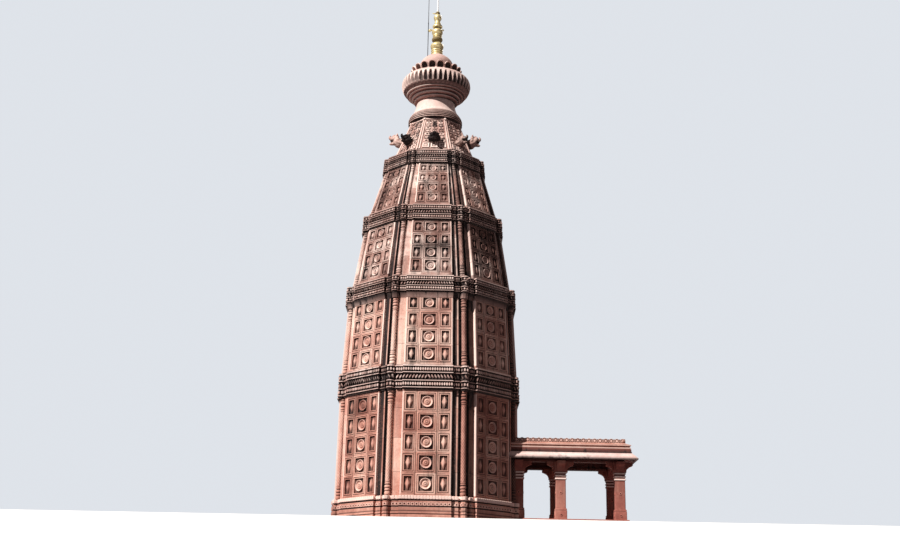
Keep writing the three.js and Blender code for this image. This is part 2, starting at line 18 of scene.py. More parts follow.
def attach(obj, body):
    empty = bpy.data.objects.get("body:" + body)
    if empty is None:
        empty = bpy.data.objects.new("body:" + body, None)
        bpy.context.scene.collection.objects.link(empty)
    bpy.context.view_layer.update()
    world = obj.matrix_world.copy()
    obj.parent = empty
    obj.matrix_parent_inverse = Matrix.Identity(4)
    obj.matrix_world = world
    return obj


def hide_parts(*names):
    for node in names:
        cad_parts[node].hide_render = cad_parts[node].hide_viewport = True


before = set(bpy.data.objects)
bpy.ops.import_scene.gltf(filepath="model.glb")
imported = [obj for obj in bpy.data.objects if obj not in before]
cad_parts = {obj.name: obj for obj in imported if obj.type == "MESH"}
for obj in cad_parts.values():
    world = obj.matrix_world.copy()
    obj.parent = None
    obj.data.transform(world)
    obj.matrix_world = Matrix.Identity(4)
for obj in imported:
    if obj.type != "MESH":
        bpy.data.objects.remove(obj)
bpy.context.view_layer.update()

log = logging.getLogger("temple")
Array = np.ndarray
Number = float | Array
Table = Sequence[Sequence[float]]
Colour = tuple[float, float, float]
Value = "Socket | float | tuple"

SIDES = 8
SIDE_ANGLE = math.tau / SIDES
SIDE_ANGLES = (np.arange(SIDES) * SIDE_ANGLE)[:, None]
HALF_SIDE = math.tan(SIDE_ANGLE / 2)
SLAB_PART = 0.64
STRIP_PART = 0.81
STRIP_DEPTH = 0.12
WALL_DEPTH = 0.21
POCKET_DEPTH = 0.135
CORNER_RADIUS = 0.125
FIRST_APOTHEM = 3.65
JOINT = 0.002
SQUARE = np.inf
CREASE = math.radians(33)


class Named(Enum):
    """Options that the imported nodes' names use in small letters."""

    @property
    def word(self) -> str:
        """The option's name in small letters."""
        return self.name.lower()


class Side(Named):
    """The tower's eight sides, counter-clockwise from +X."""

    EAST = 0
    NORTH_EAST = 1
    NORTH = 2
    NORTH_WEST = 3
    WEST = 4
    SOUTH_WEST = 5
    SOUTH = 6
    SOUTH_EAST = 7

    @property
    def angle(self) -> float:
        """The direction this side faces, from +X, in radians."""
        return self.value * SIDE_ANGLE


class Slot(Enum):
    """The record's material slots."""

    SANDSTONE = "red_sandstone"
    CORNICE = "cornice_stone"
    PALE = "pale_stone"
    GILT = "gilt_copper"
    IRON = "dark_iron"


class Row(Enum):
    """What a cornice's band is carved with."""

    BEADS = 0
    LEAVES = 1


class Edge(Named):
    """The porch's open sides."""

    FRONT = 0
    END = 1
    REAR = 2


# Surfaces


@dataclass
class Shell:
    """Faces over points, with the soot and the stone's shade at each point.

    A face is four point numbers, and a triangle repeats one of them. The soot is real soot and also painted
    shade in hollows, grooves and where shadows fall; below zero it is an edge worn pale and also a painted
    highlight. The shade is the stone's own tone, with painted light added in places.
    """

    points: Array
    faces: Array
    soot: Array
    shade: Array

    @staticmethod
    def grid(points: Array, soot: Number = 0.0, shade: Number = 0.0, ring: bool = True,
             loop: bool = False) -> "Shell":
        """Makes faces over a grid whose columns run counter-clockwise and whose rows run upwards.

        Args:
            points: The grid, rows by columns by 3.
            soot, shade: One number, or rows by columns.
            ring, loop: Whether the last column joins the first, and whether the last row does.

        Returns:
            The shell, facing outwards.
        """
        rows, columns = points.shape[:2]
        number = np.arange(rows * columns).reshape(rows, columns)
        number = np.hstack([number, number[:, :1]]) if ring else number
        number = np.vstack([number, number[:1]]) if loop else number
        faces = np.stack([number[:-1, :-1], number[:-1, 1:], number[1:, 1:], number[1:, :-1]], -1).reshape(-1,
                                                                                                           4)
        spread = [np.broadcast_to(value, (rows, columns)).reshape(-1) for value in (soot, shade)]
        return Shell(points.reshape(-1, 3), faces, *spread)

    @staticmethod
    def join(shells: Sequence["Shell"]) -> "Shell":
        """Puts shells together as one, each with its own points."""
        offsets = np.cumsum([0] + [len(shell.points) for shell in shells[:-1]])
        return Shell(
            np.concatenate([shell.points for shell in shells]),
            np.concatenate([shell.faces + offset for shell, offset in zip(shells, offsets)]),
            np.concatenate([shell.soot for shell in shells]),
            np.concatenate([shell.shade for shell in shells]),
        )

    def sealed(self) -> "Shell":
        """This shell with points that fall on each other made one, which closes its poles."""
        _, first, where = np.unique(np.round(self.points, 5), axis=0, return_index=True, return_inverse=True)
        return Shell(self.points[first], where.reshape(-1)[self.faces], self.soot[first], self.shade[first])

    def moved(self, points: Array) -> "Shell":
        """The same faces over other points."""
        return Shell(points, self.faces, self.soot, self.shade)

    def turned(self, angle: float) -> "Shell":
        """This shell turned about the tower's axis."""
        return self.moved(on_side(angle, *self.points.T))

    def shaded(self, soot: Number, shade: Number) -> "Shell":
        """This shell with more soot and another shade."""
        return Shell(self.points, self.faces, np.clip(self.soot + soot, -1, 1), self.shade + shade)

    def stamped(self, origins: Array, angles: Array, soot: Number = 0.0, shade: Number = 0.0) -> "Shell":
        """Copies of this shell, whose x runs along a side, y up and z outward.

        A copy's point is origin + x along + y up + z outward, where outward is (cos a, sin a).

        Args:
            origins, angles: Where each copy stands and the direction it faces.
            soot, shade: What to add, one number or one for each copy.

        Returns:
            All the copies as one shell.
        """
        count, size = len(origins), len(self.points)
        cos, sin, none = np.cos(angles), np.sin(angles), np.zeros(count)
        axes = np.stack([np.stack([-sin, cos, none], -1), np.stack([none, none, none + 1], -1),
                         np.stack([cos, sin, none], -1)], 1)
        points = origins[:, None] + np.einsum("nj,kji->kni", self.points, axes)
        faces = self.faces[None] + (np.arange(count) * size)[:, None, None]
        extra = [np.repeat(np.broadcast_to(value, count), size) for value in (soot, shade)]
        return Shell(points.reshape(-1, 3), faces.reshape(-1, 4), np.clip(np.tile(self.soot, count)
                                                                          + extra[0], -1, 1),
                     np.tile(self.shade, count) + extra[1])


def eased(points: Table, steps: int) -> Array:
    """A smooth curve through points: cubics whose end slopes are half the neighbours' difference.

    Args:
        points: The points to pass through.
        steps: How many steps each stretch has.

    Returns:
        The curve's points.
    """
    knots = np.asarray(points, float)
    knots = np.vstack([2 * knots[0] - knots[1], knots, 2 * knots[-1] - knots[-2]])
    t = np.linspace(0, 1, steps, endpoint=False)[:, None]
    a, b, c, d = knots[:-3, None], knots[1:-2, None], knots[2:-1, None], knots[3:, None]
    curve = b + t / 2 * ((c - a) + t * ((2 * a - 5 * b + 4 * c - d) + t * (3 * b - 3 * c + d - a)))
    return np.vstack([curve.reshape(-1, knots.shape[1]), knots[-2]])


def on_side(angle: Number, outward: Number, along: Number, z: Number) -> Array:
    """Points at x = outward cos a - along sin a, y = outward sin a + along cos a, and z."""
    cos, sin = np.cos(angle), np.sin(angle)
    return np.stack(np.broadcast_arrays(outward * cos - along * sin, outward * sin + along * cos, z), -1)


def lathe(side: Table | Array, steps: int, swell: Number = 1.0, soot: Number = 0.0,
          shade: Number = 0.0) -> Shell:
    """A round piece about the axis: each [r, z] of its side goes round as (r swell cos a, r swell sin a, z).

    Args:
        side: The [radius, height] points of the side, from its foot up.
        steps: How many columns go round.
        swell: What the radius is multiplied by.
        soot, shade: One number, or rows by columns, as the swell.

    Returns:
        The closed shell, with a pole at both ends.
    """
    side = np.asarray(side, float)
    angle = np.arange(steps) * math.tau / steps
    radius = side[:, :1] * swell * np.ones((1, steps))
    points = np.stack([radius * np.cos(angle), radius * np.sin(angle), np.broadcast_to(side[:, 1:],
                                                                                       radius.shape)], -1)
    return capped(points, soot, shade)


def capped(points: Array, soot: Number = 0.0, shade: Number = 0.0) -> Shell:
    """A ring-shaped grid closed by one point in the middle of its first row and one of its last.

    Args:
        points: The grid, rows by columns by 3.
        soot, shade: One number, or rows by columns.

    Returns:
        The shell.
    """
    rows, columns = points.shape[:2]
    ends = [np.broadcast_to(points[row].mean(axis=0), (1, columns, 3)) for row in (0, -1)]
    spread = [np.broadcast_to(value, (rows, columns)) for value in (soot, shade)]
    spread = [np.concatenate([value[:1], value, value[-1:]]) for value in spread]
    return Shell.grid(np.concatenate([ends[0], points, ends[1]]), *spread).sealed()


def carved(loops: Table, columns: int, width: float = 1, height: float = 1) -> Shell:
    """A small closed carving from nested outlines, each [half width, half height, power, depth, soot].

    An outline's point at angle a is (w cos a, h sin a) / n, where n is the power norm of (cos a, sin a):
    power 1 is a lozenge, 2 an ellipse, infinity a rectangle. The first outline is the back; the middles of
    the back and of the front are closed.

    Args:
        loops: The outlines, from the back to the middle of the front.
        columns: How many points an outline has.
        width, height: What the half sizes are multiplied by.

    Returns:
        The shell, with x to the side, y up and z out of the stone.
    """
    table = np.array(loops, float)
    table[:, :2] *= width, height
    angle = np.arange(columns) * math.tau / columns
    cos, sin = np.cos(angle), np.sin(angle)
    power = table[:, 2:3]
    size = np.maximum(abs(cos), abs(sin)) * np.ones_like(power)
    finite = np.isfinite(power[:, 0])
    size[finite] = (abs(cos) ** power[finite] + abs(sin) ** power[finite]) ** (1 / power[finite])
    points = np.stack([table[:, :1] * cos / size, table[:, 1:2] * sin / size,
                       np.broadcast_to(table[:, 3:4], size.shape)], -1)
    return capped(points, table[:, 4:5])


def hollow_ring(outer: Array, inner: Array, soot: Number = 0.0, shade: Number = 0.0,
                closed: bool = True) -> Shell:
    """A wall between two grids of one shape: up the outer one, over, down the inner one and under.

    Args:
        outer, inner: Its two sides, rows by columns by 3.
        soot, shade: One number, or rows by columns, for the outside.
        closed: Whether the wall goes all the way round. Otherwise its two ends are closed.

    Returns:
        The shell.
    """
    rows, columns = outer.shape[:2]
    soot, shade = (np.broadcast_to(value, (rows, columns)) for value in (soot, shade))
    points = np.concatenate([outer, inner[::-1]])
    shell = Shell.grid(points, np.concatenate([soot, soot * 0]), np.concatenate([shade, shade[::-1]]), closed,
                       True)
    if not closed:
        row = np.arange(rows - 1)
        out, back = row * columns, (2 * rows - 1 - row) * columns
        start = np.stack([out, out + columns, back - columns, back], -1)
        end = start[:, ::-1] + columns - 1
        shell.faces = np.concatenate([shell.faces, start, end])
    return shell.sealed()


def squared(levels: Table, centre: tuple[float, float] = (0.0, 0.0), chamfer: float = 0.012,
            shade: float = 0.0) -> Shell:
    """A square-built stone: at each height z a rectangle x +- hx, y +- hy with its corners cut at 45 degrees.

    Args:
        levels: The [hx, hy, z, soot] levels from the foot up.
        centre: Where the stone stands.
        chamfer: How much is cut off each corner.
        shade: The stone's shade.

    Returns:
        The shell.
    """
    table = np.asarray(levels, float)
    sign_x = np.array([1, 1, 1, -1, -1, -1, -1, 1])
    sign_y = np.array([-1, 1, 1, 1, 1, -1, -1, -1])
    cut_x = np.array([0, 0, 1, 1, 0, 0, 1, 1]) * chamfer
    cut_y = np.array([1, 1, 0, 0, 1, 1, 0, 0]) * chamfer
    x = centre[0] + sign_x * (table[:, :1] - cut_x)
    y = centre[1] + sign_y * (table[:, 1:2] - cut_y)
    return capped(np.stack([x, y, np.broadcast_to(table[:, 2:3], x.shape)], -1), table[:, 3:4], shade)


def step_levels(steps: Table, half: tuple[float, float]) -> list[list[float]]:
    """The levels of a square stone from [reach, z, soot] steps outside its half widths."""
    return [[half[0] + reach, half[1] + reach, z, soot] for reach, z, soot in steps]


def ball(centre: Sequence[float], radii: Sequence[float], tilt: float = 0.0) -> Shell:
    """An ellipsoid: centre + (rx cos u cos v, ry sin u cos v, rz sin v), tilted about the y direction.

    Args:
        centre: Its middle.
        radii: Its three radii.
        tilt: How far its front end is turned down, in radians.

    Returns:
        The shell.
    """
    u = np.arange(12) * math.tau / 12
    v = np.linspace(-math.pi / 2, math.pi / 2, 9)[:, None]
    x, y, z = radii[0] * np.cos(u) * np.cos(v), radii[1] * np.sin(u) * np.cos(v), radii[2] * np.sin(v) + 0 * u
    cos, sin = math.cos(tilt), math.sin(tilt)
    points = np.stack([x * cos + z * sin, y, z * cos - x * sin], -1) + centre
    return Shell.grid(points).sealed()


def tube(path: Table, steps: int = 4) -> Shell:
    """A tube along a smooth path: the path plus radius (cos b p + sin b q), p and q across it.

    Args:
        path: The [x, y, z, radius] points to pass through.
        steps: How many steps each stretch has.

    Returns:
        The shell.
    """
    curve = eased(path, steps)
    place, radius = curve[:, :3], curve[:, 3:4]
    run = np.gradient(place, axis=0)
    run /= np.linalg.norm(run, axis=1, keepdims=True)
    across = np.cross(run, [0.02, 1.0, 0.03])
    across /= np.linalg.norm(across, axis=1, keepdims=True)
    b = (np.arange(10) * math.tau / 10)[:, None]
    ring = np.cos(b) * across[:, None] + np.sin(b) * np.cross(run, across)[:, None]
    return capped(place[:, None] + radius[:, None] * ring)


# Finishes


class Socket:
    """A shader value that can be used in sums. Numbers use Math nodes; vectors and colours their own."""

    def __init__(self, wires: "Wires", output: bpy.types.NodeSocket) -> None:
        """Keeps the output and the tree it belongs to."""
        self.wires = wires
        self.output = output

    def _with(self, operation: str, other: Value, turned: bool = False) -> "Socket":
        """This value and another through one operation, or the other way round if turned.

        Args:
            operation, other: The node's operation and the other value.
            turned: Whether the other value comes first.

        Returns:
            The result.
        """
        pair = (other, self) if turned else (self, other)
        if self.output.type == "VECTOR":
            pair = [(item,) * 3 if isinstance(item, (int, float)) else item for item in pair]
            node = self.wires.node("ShaderNodeVectorMath", {"operation": operation}, {0: pair[0], 1: pair[1]})
        elif self.output.type == "RGBA":
            pair = [(item,) * 3 + (1,) if isinstance(item, (int, float)) else item for item in pair]
            return self.wires.mix(1.0, pair[0], pair[1], operation)
        else:
            node = self.wires.node("ShaderNodeMath", {"operation": operation}, {0: pair[0], 1: pair[1]})
        return Socket(self.wires, node.outputs[0])

    def __add__(self, other: Value) -> "Socket":
        """The sum."""
        return self._with("ADD", other)

    __radd__ = __add__

    def __mul__(self, other: Value) -> "Socket":
        """The product."""
        return self._with("MULTIPLY", other)

    __rmul__ = __mul__

    def __sub__(self, other: Value) -> "Socket":
        """The difference."""
        return self._with("SUBTRACT", other)

    def __rsub__(self, other: Value) -> "Socket":
        """The difference with this value taken away."""
        return self._with("SUBTRACT", other, turned=True)

    def clipped(self) -> "Socket":
        """This number kept between 0 and 1."""
        return Socket(self.wires, self.wires.node("ShaderNodeClamp", {}, {"Value": self}).outputs[0])


class Wires:
    """The node tree of a material or of the surroundings, and the ways of adding to it."""

    def __init__(self, owner: bpy.types.Material | bpy.types.World) -> None:
        """Empties the owner's tree."""
        self.owner = owner
        owner.use_nodes = True
        self.tree = owner.node_tree
        self.tree.nodes.clear()

    def node(self, kind: str, settings: dict | None = None, sockets: dict | None = None) -> bpy.types.Node:
        """Adds a node.

        Args:
            kind, sockets: The node's type, and values or links for its inputs.
            settings: Its settings, set first; "stops" holds a ramp's places and colours.

        Returns:
            The node.
        """
        node = self.tree.nodes.new(kind)
        for name, value in (settings or {}).items():
            if name == "stops":
                ramp = node.color_ramp.elements
                while len(ramp) < len(value):
                    ramp.new(0.5)
                for element, (place, colour) in zip(ramp, value):
                    element.position = place
                    element.color = (*colour, 1.0)
            else:
                setattr(node, name, value)
        for name, value in (sockets or {}).items():
            if isinstance(value, Socket):
                self.tree.links.new(value.output, node.inputs[name])
            else:
                node.inputs[name].default_value = value
        return node

    def mix(self, factor: Value, a: Value, b: Value, blend: str = "MIX") -> Socket:
        """Blends colour b over colour a by the factor.

        Args:
            factor, blend: How much of b shows, and the Mix node's blend type.
            a, b: The colour below and the one above.

        Returns:
            The colour.
        """
        settings = {"data_type": "RGBA", "blend_type": blend}
        colours = [(*item, 1) if isinstance(item, tuple) and len(item) == 3 else item for item in (a, b)]
        return Socket(self, self.node("ShaderNodeMix", settings, {0: factor, 6: colours[0],
                                                                  7: colours[1]}).outputs[2])

    def place(self) -> Socket:
        """The point on the piece, in its own metres."""
        return Socket(self, self.node("ShaderNodeTexCoord").outputs["Object"])

    def upward(self) -> Socket:
        """How much the surface faces up, from -1 to 1."""
        normal = Socket(self, self.node("ShaderNodeNewGeometry").outputs["Normal"])
        return Socket(self, self.node("ShaderNodeSeparateXYZ", {}, {0: normal}).outputs[2])

    def kept(self, name: str) -> Socket:
        """A number that the mesh keeps at its points."""
        return Socket(self, self.node("ShaderNodeAttribute", {"attribute_name": name}).outputs["Fac"])

    def noise(self, place: Socket, scale: float, detail: float, roughness: float = 0.6) -> Socket:
        """Cloudy noise with so many clouds to a metre."""
        sockets = {"Vector": place, "Scale": scale, "Detail": detail, "Roughness": roughness}
        return Socket(self, self.node("ShaderNodeTexNoise", {}, sockets).outputs[0])

    def ramp(self, factor: Socket, stops: Sequence[tuple]) -> Socket:
        """Colours by a number."""
        return Socket(self, self.node("ShaderNodeValToRGB", {"stops": stops}, {0: factor}).outputs[0])

    def finish(self, sockets: dict, bump: Socket | None, strength: float,
               distance: float) -> bpy.types.Material:
        """Joins the values to a Principled shader and the output.

        Args:
            sockets: The shader's inputs.
            bump: The height of the surface's bumps, if it has any.
            strength, distance: How strong they are, and their depth in metres.

        Returns:
            The material.
        """
        if bump is not None:
            made = self.node("ShaderNodeBump", {}, {"Strength": strength, "Distance": distance,
                                                    "Height": bump})
            sockets = {**sockets, "Normal": Socket(self, made.outputs[0])}
        shader = self.node("ShaderNodeBsdfPrincipled", {}, sockets)
        self.node("ShaderNodeOutputMaterial", {}, {0: Socket(self, shader.outputs[0])})
        return self.owner


@dataclass(frozen=True)
class Stone:
    """A weathered stone: its dark, middle and pale colours, how rain and soot have marked it, and the painted
    shade and highlights laid over it.

    Attributes:
        dark, middle, pale: The stone's own colours, linear.
        soot, worn: The colour of soot and lichen, which also paints shade, and the colour of edges worn pale,
        which also paints highlights.
        mottle, streaks: How strongly large patches vary, and how much soot runs down the face.
        ledges: How black the upward faces are.
        grain: The depth of the surface's bumps, in metres.
    """

    name: str
    dark: Colour
    middle: Colour
    pale: Colour
    soot: Colour = (0.016, 0.01, 0.01)
    worn_and_highlight: Colour = (0.88, 0.7, 0.63)
    mottle: float = 0.9
    streaks: float = 0.5
    ledges: float = 0.5
    grain: float = 0.012
    slot: Slot = Slot.SANDSTONE

    def material(self) -> bpy.types.Material:
        """Builds the stone: clouds of three sizes choose its colour; worn edges and painted highlights, then
        soot and painted shade, go over it.

        Returns:
            The material.
        """
        wires = Wires(bpy.data.materials.new(self.name))
        place = wires.place()
        broad = wires.noise(place, 0.33, 3, 0.55)
        patch = wires.noise(place, 1.6, 5, 0.65)
        fine = wires.noise(place, 11, 6, 0.7)
        streak = wires.noise(place * (4.2, 4.2, 0.28), 1.0, 5, 0.65)
        tone = 0.5 + (broad - 0.5) * self.mottle + (patch - 0.5) * (0.9 * self.mottle)
        tone = tone + (fine - 0.5) * 0.5 + wires.kept("shade") * 0.16
        colour = wires.ramp(tone.clipped(), [(0.14, self.dark), (0.5, self.middle), (0.86, self.pale)])
        run = ((streak + patch * 0.55 + broad * 0.55 - 1.12) * 5).clipped() * self.streaks
        ledge = (wires.upward() * 1.6 - 0.5).clipped() * self.ledges
        # The soot attribute: soot and painted shade above zero, worn edges and painted highlights below it.
        kept = wires.kept("soot")
        black = (kept * (0.72 + fine * 0.5) + run + ledge).clipped()
        colour = wires.mix((kept * -1).clipped(), colour, self.worn_and_highlight)
        colour = wires.mix(black, colour, self.soot)
        rough = 0.78 + fine * 0.16 + black * 0.04
        return wires.finish({"Base Color": colour, "Roughness": rough.clipped(), "Specular IOR Level": 0.25},
                            fine + patch * 0.6, 0.55, self.grain)


@dataclass(frozen=True)
class Metal:
    """A metal skin: bright and dull colours, how shiny it is and how far soot has gone in."""

    name: str
    bright: Colour
    dull: Colour
    roughness: float
    metallic: float
    slot: Slot = Slot.GILT

    def material(self) -> bpy.types.Material:
        """Builds the skin: the dull colour, which is rougher too, spreads over the bright one in patches.

        Returns:
            The material.
        """
        wires = Wires(bpy.data.materials.new(self.name))
        place = wires.place()
        patch = wires.noise(place, 7, 5, 0.65)
        fine = wires.noise(place, 60, 4, 0.6)
        kept = wires.kept("soot")
        dull = ((patch - 0.46) * 3.2 + kept * 1.6).clipped()
        colour = wires.mix(dull, self.bright, self.dull)
        rough = (self.roughness + dull * 0.35 + (fine - 0.5) * 0.2).clipped()
        metallic = (self.metallic - dull * 0.45).clipped()
        return wires.finish({"Base Color": colour, "Roughness": rough, "Metallic": metallic}, fine + patch,
                            0.3, 0.004)


@dataclass(frozen=True)
class Ground:
    """The plain pale floor."""

    name: str = "pale_floor"
    dark: Colour = (0.7, 0.69, 0.67)
    pale: Colour = (0.76, 0.75, 0.73)

    def material(self) -> bpy.types.Material:
        """Builds the floor's faint clouds."""
        wires = Wires(bpy.data.materials.new(self.name))
        clouds = wires.noise(wires.place(), 0.5, 3, 0.5)
        return wires.finish({"Base Color": wires.mix(clouds, self.dark, self.pale), "Roughness": 0.9}, None,
                            0, 0)


SANDSTONE = Stone("red_sandstone", (0.27, 0.098, 0.074), (0.56, 0.262, 0.2), (0.82, 0.52, 0.42))
PALER_SANDSTONE = Stone("paler_sandstone", (0.26, 0.105, 0.083), (0.61, 0.325, 0.258), (0.88, 0.62, 0.52))
STAINED_SANDSTONE = Stone("stained_sandstone", (0.11, 0.048, 0.04), (0.41, 0.225, 0.185), (0.8, 0.6, 0.53),
                          mottle=1.5, streaks=0.8)
TOP_STONE = Stone("top_sandstone", (0.19, 0.085, 0.068), (0.46, 0.265, 0.222), (0.78, 0.57, 0.5),
                  mottle=1.2, streaks=0.6)
BOWL_STONE = Stone("bowl_sandstone", (0.2, 0.07, 0.058), (0.52, 0.25, 0.21), (0.84, 0.58, 0.52),
                   mottle=1.3, streaks=0.4)
CORNICE_STONE = Stone("cornice_stone", (0.18, 0.09, 0.075), (0.46, 0.28, 0.24), (0.8, 0.62, 0.56),
                      streaks=0.75, ledges=0.9, slot=Slot.CORNICE)
PALE_STONE = Stone("pale_stone", (0.34, 0.19, 0.165), (0.57, 0.41, 0.375), (0.74, 0.6, 0.565),
                   streaks=0.4, ledges=0.0, grain=0.006, slot=Slot.PALE)
NECK_STONE = Stone("neck_stone", (0.36, 0.2, 0.175), (0.6, 0.42, 0.37), (0.76, 0.6, 0.55),
                   mottle=0.8, streaks=0.3, ledges=0.0, grain=0.006, slot=Slot.PALE)
CROWN_STONE = Stone("crown_stone", (0.25, 0.13, 0.11), (0.49, 0.32, 0.28), (0.66, 0.49, 0.44),
                    streaks=0.4, ledges=0.0, grain=0.006, slot=Slot.PALE)
PORCH_STONE = Stone("porch_stone", (0.15, 0.042, 0.034), (0.4, 0.125, 0.095), (0.66, 0.3, 0.23),
                    streaks=0.35, ledges=0.1)
ROOF_STONE = Stone("porch_roof_stone", (0.28, 0.105, 0.078), (0.53, 0.265, 0.205), (0.8, 0.54, 0.46),
                   mottle=1.2, streaks=0.6, ledges=0.1)
GILT = Metal("gilt_copper", (0.76, 0.63, 0.33), (0.2, 0.145, 0.06), 0.36, 0.5)
TIP_METAL = Metal("bright_tip", (0.86, 0.88, 0.9), (0.6, 0.62, 0.64), 0.4, 0.2)
IRON = Metal("dark_iron", (0.035, 0.037, 0.045), (0.06, 0.04, 0.03), 0.5, 0.7, Slot.IRON)


def shown(name: str, data: bpy.types.ID) -> bpy.types.Object:
    """A new object in the scene, with its mesh, lamp or camera."""
    thing = bpy.data.objects.new(name, data)
    bpy.context.collection.objects.link(thing)
    return thing


@dataclass
class Workshop:
    """Makes pieces from shells, each with its finish, on the tower's one body."""

    made: dict[str, bpy.types.Material] = field(default_factory=dict)

    def material(self, finish: Stone | Metal) -> bpy.types.Material:
        """The finish's material, built once.

        Args:
            finish: The stone or the metal.

        Returns:
            The material.
        """
        if finish.name not in self.made:
            self.made[finish.name] = finish.material()
        return self.made[finish.name]

    def piece(self, name: str, node: str, shell: Shell, finish: Stone | Metal) -> None:
        """Makes one piece.

        Args:
            name, node: The piece's name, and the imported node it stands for.
            shell, finish: Its surface, and what it is made of.
        """
        mesh = self.mesh(name, shell)
        mesh.materials.append(self.material(finish))
        thing = shown(name, mesh)
        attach(thing, "root")
        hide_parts(node)
        log.info("%s: %d faces", name, len(mesh.polygons))

    def mesh(self, name: str, shell: Shell) -> bpy.types.Mesh:
        """A mesh of the shell. A face with one repeated corner becomes a triangle, and one with more goes.

        Args:
            name, shell: The mesh's name and surface.

        Returns:
            The mesh, smooth but for its creases, with the soot and the shade at its points.
        """
        same = shell.faces == np.roll(shell.faces, -1, axis=1)
        count = same.sum(axis=1)
        quads = shell.faces[count == 0]
        triangles = shell.faces[count == 1][~same[count == 1]].reshape(-1, 3)
        corners = np.concatenate([quads.reshape(-1), triangles.reshape(-1)])
        starts = np.concatenate([np.arange(len(quads)) * 4, len(quads) * 4 + np.arange(len(triangles)) * 3])
        mesh = bpy.data.meshes.new(name)
        mesh.vertices.add(len(shell.points))
        mesh.vertices.foreach_set("co", np.ascontiguousarray(shell.points, np.float32).reshape(-1))
        mesh.loops.add(len(corners))
        mesh.loops.foreach_set("vertex_index", corners.astype(np.int32))
        mesh.polygons.add(len(starts))
        mesh.polygons.foreach_set("loop_start", starts.astype(np.int32))
        mesh.update(calc_edges=True)
        mesh.polygons.foreach_set("use_smooth", np.ones(len(starts), bool))
        mesh.set_sharp_from_angle(angle=CREASE)
        for word, values in (("soot", shell.soot), ("shade", shell.shade)):
            mesh.attributes.new(word, "FLOAT", "POINT").data.foreach_set("value", values.astype(np.float32))
        return mesh


# The tower's plan


@dataclass
class Levels:
    """The levels of a plan, from the foot up.

    Attributes:
        apothem: The slab's distance from the axis.
        scale: What depths and radii are multiplied by.
        out: How far the whole outline is moved outwards.
    """

    apothem: Number
    scale: Number
    out: Number

    # A cornice's side: wall, strip, slab, strip, wall.
    PARTS = (-STRIP_PART, -STRIP_PART, -SLAB_PART, -SLAB_PART, SLAB_PART, SLAB_PART, STRIP_PART, STRIP_PART)
    DEPTHS = (WALL_DEPTH, STRIP_DEPTH, STRIP_DEPTH, 0.0, 0.0, STRIP_DEPTH, STRIP_DEPTH, WALL_DEPTH)

    def __post_init__(self) -> None:
        """Turns the measures into columns of one length."""
        columns = [np.reshape(value, (-1, 1)) for value in (self.apothem, self.scale, self.out)]
        self.apothem, self.scale, self.out = np.broadcast_arrays(*columns)

    def side(self, parts: Sequence[float], depths: Sequence[float]) -> tuple[Array, Array]:
        """One side's plan: outward = apothem - depth scale + out, along = part half side +- out.

        Args:
            parts: Where the columns are, as parts of the half side.
            depths: How far each column is set back.

        Returns:
            The outward and along distances, rows by columns.
        """
        parts, depths = np.asarray(parts, float), np.asarray(depths, float)
        inside = abs(parts) < 1
        outward = self.apothem - depths * self.scale + self.out * inside
        along = np.where(inside, parts * self.apothem + np.sign(parts) * self.out / HALF_SIDE,
                         parts * outward)
        return outward, along * HALF_SIDE

    def moulded(self, extra: float = 0.0) -> tuple[Array, Array]:
        """A cornice's side and its round corner, (w, w tan) + (radius scale + out) (cos b, sin b).

        Args:
            extra: What is added to the corner's radius.

        Returns:
            The outward and along distances, rows by columns.
        """
        outward, along = self.side(self.PARTS, self.DEPTHS)
        wall = self.apothem - WALL_DEPTH * self.scale
        radius = (CORNER_RADIUS + extra) * self.scale + self.out
        b = -math.pi / 2 + np.linspace(0, 1, 7) * (math.pi + SIDE_ANGLE)
        corner = wall + radius * np.cos(b), wall * HALF_SIDE + radius * np.sin(b)
        return np.hstack([outward, corner[0]]), np.hstack([along, corner[1]])


def all_round(outward: Array, along: Array, z: Array) -> Array:
    """The points of one side's plan, rows by columns, repeated on all sides; z has each row's height."""
    points = on_side(SIDE_ANGLES, outward[:, None], along[:, None], np.reshape(z, (-1, 1, 1)))
    return points.reshape(len(outward), -1, 3)


def inner_plan(outward: Array, along: Array, inner: Number) -> tuple[Array, Array]:
    """The plan of the plain octagon inside, each point facing its outer one and kept within its side."""
    inner = np.reshape(inner, (-1, 1))
    return inner + 0 * outward, np.clip(along / outward, -HALF_SIDE, HALF_SIDE) * inner


def run_places(apothem: float, scale: float, out: float, z: float, pitch: float,
               extra: float = 0.0) -> tuple[Array, Array, Array]:
    """Evenly spaced places along the slab, the strips and the corner columns of all sides at one height.

    A flat run of length L has L / pitch places in the middles of equal parts; round a corner column they
    stand at equal angles.

    Args:
        apothem, scale: The slab's distance from the axis, and what depths are multiplied by.
        out, z: How far the run stands in front of the plan, and its height.
        pitch: The spacing aimed at.
        extra: What is added to the corner columns' radius.

    Returns:
        The places, the direction each faces, and how far each stands from the middle of its side.
    """
    half = apothem * HALF_SIDE
    outward, along, turn = [], [], []
    strip = half * (SLAB_PART + STRIP_PART) / 2
    for middle, length, depth in ((0, 2 * SLAB_PART * half, 0), (strip, half * (STRIP_PART - SLAB_PART),
                                                                 STRIP_DEPTH),
                                  (-strip, half * (STRIP_PART - SLAB_PART), STRIP_DEPTH)):
        count = max(1, round(length / pitch))
        along.append(middle + length * ((np.arange(count) + 0.5) / count - 0.5))
        outward.append(np.full(count, apothem - depth * scale + out))
        turn.append(np.zeros(count))
    wall = apothem - WALL_DEPTH * scale
    radius = (CORNER_RADIUS + extra) * scale + out
    count = max(3, round(radius * (math.pi + SIDE_ANGLE) / pitch))
    b = -math.pi / 2 + (np.arange(count) + 0.5) / count * (math.pi + SIDE_ANGLE)
    outward.append(wall + radius * np.cos(b))
    along.append(wall * HALF_SIDE + radius * np.sin(b))
    turn.append(b)
    outward, along, turn = (np.concatenate(values) for values in (outward, along, turn))
    places = on_side(SIDE_ANGLES, outward, along, z).reshape(-1, 3)
    return places, (SIDE_ANGLES + turn).reshape(-1), np.tile(along, SIDES)


